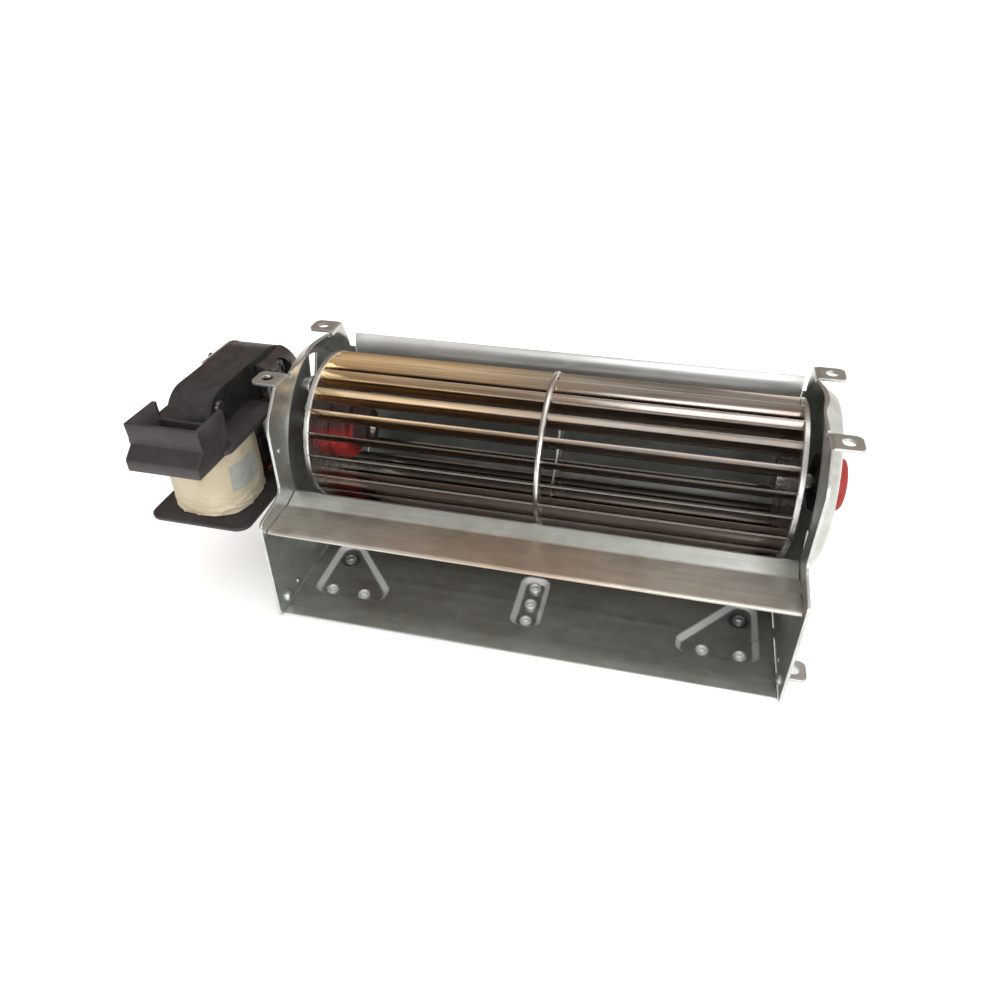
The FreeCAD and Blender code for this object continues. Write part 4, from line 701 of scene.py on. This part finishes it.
def tape_wrap():
    """Tape round the winding: it bulges, creases near its foot, and ends in a lapped seam."""
    low, high = box_of("coil_wrap")
    middle = (low + high) / 2
    outline = round_square((high.x - low.x) / 2 - WRAP_SHRINK, WRAP_CORNER, 84, 10)
    rings = []
    for row in range(WRAP_ROWS + 1):
        share = row / WRAP_ROWS
        height = (high.z - low.z) * share
        bulge = 0.22 + 0.28 * math.sin(math.pi * share)
        creasing = 0.85 * (1 - smooth_step(share, 0.04, 0.40)) + 0.3 * smooth_step(share, 0.86, 1.0)
        ring = []
        for step, (flat, out) in enumerate(outline):
            spot = Vector((flat.x, flat.y, 0)) / MM
            wave = noise.noise(spot / 9 + Vector((0, 0, height / MM / 14)))
            fold = noise.noise(Vector((spot.x / 6, spot.y / 6, height / MM / 1.9 + 9)))
            lap = (step / len(outline) - WRAP_SEAM) % 1.0
            swell = bulge + 0.25 * wave + creasing * ((1 - abs(fold)) ** 6 - 0.45)
            swell += 0.4 * (1 - smooth_step(lap, 0.0, 0.10))
            swell = min(max(swell, WRAP_SWELL[0]), WRAP_SWELL[1])
            ragged = 0.25 + 0.25 * noise.noise(spot / 6.0) + 0.08 * noise.noise(spot / 1.7)
            level = low.z + height
            if row == 0:
                level += max(0.0, ragged) * MM
            if row == WRAP_ROWS:
                level -= max(0.0, ragged) * MM
            ring.append((middle.x + flat.x + out.x * swell * MM,
                         middle.y + flat.y + out.y * swell * MM, level))
        rings.append(ring)
    for level in (high.z - WRAP_HEM, low.z + WRAP_HEM):
        rings.append([(middle.x + flat.x - out.x * WRAP_HEM / 2,
                       middle.y + flat.y - out.y * WRAP_HEM / 2, level) for flat, out in outline])
    wrap = add_piece("tape_wrap", [ringed(rings, closed=True)], "cream_tape", crease=60.0)
    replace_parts(wrap, "coil_wrap")


def rounded_loop(centre, half_x, half_y, corner, level, steps=8):
    """Points round a rectangle with rounded corners, at one height."""
    loop = []
    for quarter, (side_x, side_y) in enumerate(((1, 1), (-1, 1), (-1, -1), (1, -1))):
        for step in range(steps + 1):
            angle = (quarter + step / steps) * math.pi / 2
            loop.append((centre.x + side_x * (half_x - corner) + corner * math.cos(angle),
                         centre.y + side_y * (half_y - corner) + corner * math.sin(angle), level))
    return loop


def spool_loops(low, high, deck):
    """Rings of the former's tube and its two flanges, outside and then inside."""
    leg_low, leg_high = box_of("coil_leg")
    centre = (leg_low + leg_high) / 2
    half_x = (high.x - low.x) / 2
    half_y = high.y - centre.y
    bore_x = (leg_high.x - leg_low.x) / 2 + BORE_GAP
    bore_y = (leg_high.y - leg_low.y) / 2 + BORE_GAP

    def flange_loops(under):
        top = under + FLANGE
        rim = ((FLANGE_EDGE, under), (0, under + FLANGE_EDGE), (0, top - FLANGE_EDGE),
               (FLANGE_EDGE, top))
        return [rounded_loop(centre, half_x - inset, half_y - inset, FLANGE_CORNER, level)
                for inset, level in rim]

    tube = [rounded_loop(centre, bore_x + TUBE_WALL, bore_y + TUBE_WALL, TUBE_CORNER, level)
            for level in (low.z + FLANGE, deck - FLANGE)]
    bore = [rounded_loop(centre, bore_x, bore_y, BORE_CORNER, level) for level in (deck, low.z)]
    return flange_loops(low.z) + tube + flange_loops(deck - FLANGE) + bore


def shroud_loops(low, high, deck):
    """Rings of the terminal shroud, outside and then inside; its rear wall is low in the middle."""
    leg_low, leg_high = box_of("coil_leg")
    centre_x = (leg_low.x + leg_high.x) / 2
    left, right = centre_x - SHROUD_LEFT, centre_x + SHROUD_RIGHT
    front, upper, rear = low.y, low.y + SHROUD_STEP, low.y + SHROUD_DEPTH
    wall, edge, dip = SHROUD_WALL, SHROUD_EDGE, SHROUD_DIP
    notch_left, notch_right = left + wall + edge, right - wall - edge
    slope, lift = 0.05 * MM, 0.03 * MM
    base, floor = deck - FLANGE + lift, deck + lift

    def loop(face, inset, level, drop=0.0):
        """A ring from the front face to the rear wall, which lies lower by the drop."""
        back = rear - inset
        return [(left + inset, face, level), (right - inset, face, level),
                (right - inset, back, level), (notch_right, back, level),
                (notch_right - slope, back, level - drop), (notch_left + slope, back, level - drop),
                (notch_left, back, level), (left + inset, back, level)]

    return [loop(front + edge, edge, base),
            loop(front, 0, base + edge),
            loop(front, 0, deck + 2.1 * MM),
            loop(front + 0.4 * MM, 0, deck + 2.9 * MM),
            loop(upper + 0.1 * MM, 0, deck + 6.0 * MM),
            loop(upper + 0.5 * MM, 0, deck + 6.5 * MM),
            loop(upper + 0.4 * MM, 0, deck + 7.2 * MM),
            loop(upper, 0, high.z - edge, dip),
            loop(upper + edge, edge, high.z, dip),
            loop(upper + wall - edge, wall - edge, high.z, dip),
            loop(upper + wall, wall, high.z - edge, dip),
            loop(upper + wall + 0.5 * MM, wall, floor)]


def moulded_bobbin():
    """Coil former: a spool, and the terminal shroud that stands on its upper flange, the deck."""
    low, high = box_of("bobbin")
    deck = low.z + DECK_HEIGHT
    parts = [ringed(spool_loops(low, high, deck), closed=True),
             ringed(shroud_loops(low, high, deck))]
    piece = add_piece("moulded_bobbin", parts, "black_plastic", crease=50.0)
    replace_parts(piece, "bobbin")


# Middle ring and rivets

RING_HOLE = 22.4               # radius in millimetres
BLADE_TO_PLATE = 3.7 * MM      # from the blades' ends to the inner face of a side plate
PLATE_THICKNESS = 1.0 * MM
# Distance of a rivet or pip from the plate's front edge, and its height over the floor
RIVET_PLACE = (7.4 * MM, 6.5 * MM)
PIP_PLACE = (16.0 * MM, 7.1 * MM)
HIGH_PIP_PLACE = (-27.8 * MM, 65.0 * MM)    # Y and Z
# Radius of a rivet or pip, and how far it stands out
RIVET_HEAD = (2.3 * MM, 1.5 * MM)
RIVET_TAIL = (2.0 * MM, 0.7 * MM)
PIP = (1.0 * MM, 0.7 * MM)
HIGH_PIP = (0.8 * MM, 0.5 * MM)


def beaded_ring():
    """Support ring of the blades: a thin plate with a rounded bead round its rim."""
    low, high = box_of("middle_ring")
    middle = (low.x + high.x) / 2
    rim = (high.z - low.z) / 2 / MM
    section = [(-0.4, RING_HOLE), (0.4, RING_HOLE), (0.4, rim - 2.0), (0.95, rim - 1.6),
               (1.1, rim - 0.9), (0.75, rim - 0.25), (0.0, rim), (-0.75, rim - 0.25),
               (-1.1, rim - 0.9), (-0.95, rim - 1.6), (-0.4, rim - 2.0)]
    rings = []
    for angle in angles(192):
        rings.append([(middle + along * MM, AXIS_Y + radius * MM * math.cos(angle),
                       AXIS_Z + radius * MM * math.sin(angle)) for along, radius in section])
    ring = add_piece("beaded_ring", [ringed(rings, closed=True)], "disc_metal", body="impeller")
    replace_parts(ring, "middle_ring")


def button(face_x, out, centre_y, centre_z, radius, height):
    """A domed rivet head on a plate's face; out is the direction it stands along X."""
    rings = []
    for rise, reach in ((-0.2, 1.0), (0.25, 1.0), (0.55, 0.93), (0.8, 0.76), (0.95, 0.45),
                        (1.0, 0.08)):
        rings.append([(face_x + out * rise * height, centre_y + radius * reach * math.cos(angle),
                       centre_z + radius * reach * math.sin(angle)) for angle in angles(48)])
    return ringed(rings)


def plate_rivets():
    """A rivet and a pip low at the front of each side plate, and a pip higher on the left one."""
    low, high = box_of("impeller_blades")
    left, right = low.x - BLADE_TO_PLATE, high.x + BLADE_TO_PLATE
    parts = []
    for node, inside, out in (("motor_side_plate", left, 1), ("bearing_side_plate", right, -1)):
        front = box_of(node)[0].y
        outside = inside - out * PLATE_THICKNESS
        for face, way, (inset, height), size in ((inside, out, RIVET_PLACE, RIVET_HEAD),
                                                 (outside, -out, RIVET_PLACE, RIVET_TAIL),
                                                 (inside, out, PIP_PLACE, PIP)):
            parts.append(button(face, way, front + inset, height, *size))
    parts.append(button(left, 1, *HIGH_PIP_PLACE, *HIGH_PIP))
    add_piece("plate_rivets", parts, "galvanised_sheet")


screw_set("bridge_cross_screws", "bridge_screws", "black_casting", (0.5, 1.1))
screw_set("mounting_cross_screws", "mounting_screws", "bright_steel", (0.2, 0.9))
chamfered_nuts()
tape_wrap()
moulded_bobbin()
beaded_ring()
plate_rivets()


# Floor, light and camera

FLOOR_HALF = 60.0
ROOM_WALLS = ((0.0, (0.25, 0.19, 0.15)), (0.45, (0.24, 0.17, 0.13)), (0.72, (0.26, 0.19, 0.15)),
              (1.0, (0.54, 0.52, 0.48)))
# Direction of each pale part of the room, the cosines at which it starts and is full, its light
ROOM_GLOWS = (((0.05, 0.38, 0.92), 0.86, 0.985, (0.06, 0.08, 0.07)),
              ((-0.15, -0.45, 0.88), 0.72, 0.97, (0.34, 0.37, 0.39)),
              ((-0.10, -0.94, 0.32), 0.80, 0.98, (0.16, 0.17, 0.18)),
              ((0.93, 0.15, 0.33), 0.45, 0.92, (0.85, 0.87, 0.86)))
CAMERA_LENS = 27.562
CAMERA_SENSOR = 36.0
CAMERA_PLACE = Vector((60.527, -237.973, 212.029)) * MM
CAMERA_RIGHT = Vector((0.972342, 0.233511, -0.004846))
CAMERA_UP = Vector((-0.132459, 0.568412, 0.812012))
CAMERA_BACK = Vector((0.192368, -0.788911, 0.583621))


def stage_floor():
    """A plain white table that runs far beyond the view and looks pale to the eye and in metal."""
    mesh = bpy.data.meshes.new("floor")
    corners = [(-FLOOR_HALF, -FLOOR_HALF, 0), (FLOOR_HALF, -FLOOR_HALF, 0),
               (FLOOR_HALF, FLOOR_HALF, 0), (-FLOOR_HALF, FLOOR_HALF, 0)]
    mesh.from_pydata(corners, [], [(0, 1, 2, 3)])
    floor = bpy.data.objects.new("floor", mesh)
    bpy.context.collection.objects.link(floor)
    pale = Surface("pale_floor", (0.9, 0.9, 0.88), 0.0, 0.8)
    pale.set("Base Color", pale.mottle(0.3, (0.885, 0.883, 0.875), (0.905, 0.905, 0.90), 3, 0.5))
    ray = pale.nodes.new("ShaderNodeLightPath")
    shown = pale.nodes.new("ShaderNodeMath")
    shown.operation = "MAXIMUM"
    pale.feed(shown.inputs[0], ray.outputs["Is Camera Ray"])
    pale.feed(shown.inputs[1], ray.outputs["Is Glossy Ray"])
    pale.set("Emission Strength", shown.outputs["Value"])
    pale.set("Emission Color", (0.35, 0.35, 0.345))
    mesh.materials.append(pale.material)


def soft_light(name, place, target, size, power, color, seen=True):
    """A large area light that points at a target; where it isn't seen, no metal mirrors it."""
    data = bpy.data.lights.new(name, "AREA")
    data.shape = "RECTANGLE"
    data.size, data.size_y = size
    data.energy = power
    data.color = color
    light = bpy.data.objects.new(name, data)
    light.location = place
    light.rotation_euler = (Vector(target) - Vector(place)).to_track_quat("-Z", "Y").to_euler()
    light.visible_glossy = seen
    bpy.context.collection.objects.link(light)


def room_world():
    """White to the camera; to the metal a room with brownish walls and pale parts."""
    world = bpy.data.worlds.new("studio")
    world.use_nodes = True
    bpy.context.scene.world = world
    shading = Shading(world.node_tree, "Generated")
    light = shading.ramp(shading.axis("Z"), *ROOM_WALLS)
    for centre, start, full, color in ROOM_GLOWS:
        facing = shading.measure("DOT_PRODUCT", shading.place, Vector(centre).normalized())
        light = shading.mix(shading.spread(facing, start, full), light, color, "ADD")
    room = shading.nodes["Background"]
    room.inputs["Strength"].default_value = 1.0
    shading.feed(room.inputs["Color"], light)
    white = shading.nodes.new("ShaderNodeBackground")
    white.inputs["Strength"].default_value = 1.0
    shading.feed(white.inputs["Color"], WHITE)
    ray = shading.nodes.new("ShaderNodeLightPath")
    choice = shading.nodes.new("ShaderNodeMixShader")
    shading.feed(choice.inputs["Fac"], ray.outputs["Is Camera Ray"])
    shading.feed(choice.inputs[1], room.outputs["Background"])
    shading.feed(choice.inputs[2], white.outputs["Background"])
    shading.feed(shading.nodes["World Output"].inputs["Surface"], choice.outputs["Shader"])


def reference_camera():
    """Stands where the photograph was taken from."""
    data = bpy.data.cameras.new("camera")
    data.sensor_width = CAMERA_SENSOR
    data.lens = CAMERA_LENS
    data.clip_start = 0.01
    camera = bpy.data.objects.new("camera", data)
    turn = Matrix((CAMERA_RIGHT, CAMERA_UP, CAMERA_BACK)).transposed().to_4x4()
    camera.matrix_world = Matrix.Translation(CAMERA_PLACE) @ turn
    bpy.context.collection.objects.link(camera)
    bpy.context.scene.camera = camera


stage_floor()
room_world()
soft_light("ceiling", (0, 0, 9.0), (0, 0, 0), (30, 30), 1700, WHITE, seen=False)
soft_light("key", (0.45, 0.35, 1.3), (0, 0, 0.05), (0.5, 0.4), 1.0, (1.0, 0.98, 0.95))
soft_light("window", (0.40, -0.95, 0.50), (0, 0, 0.03), (0.9, 0.5), 6.0, (0.96, 0.99, 1.0))
reference_camera()
bpy.context.scene.view_settings.view_transform = "Standard"
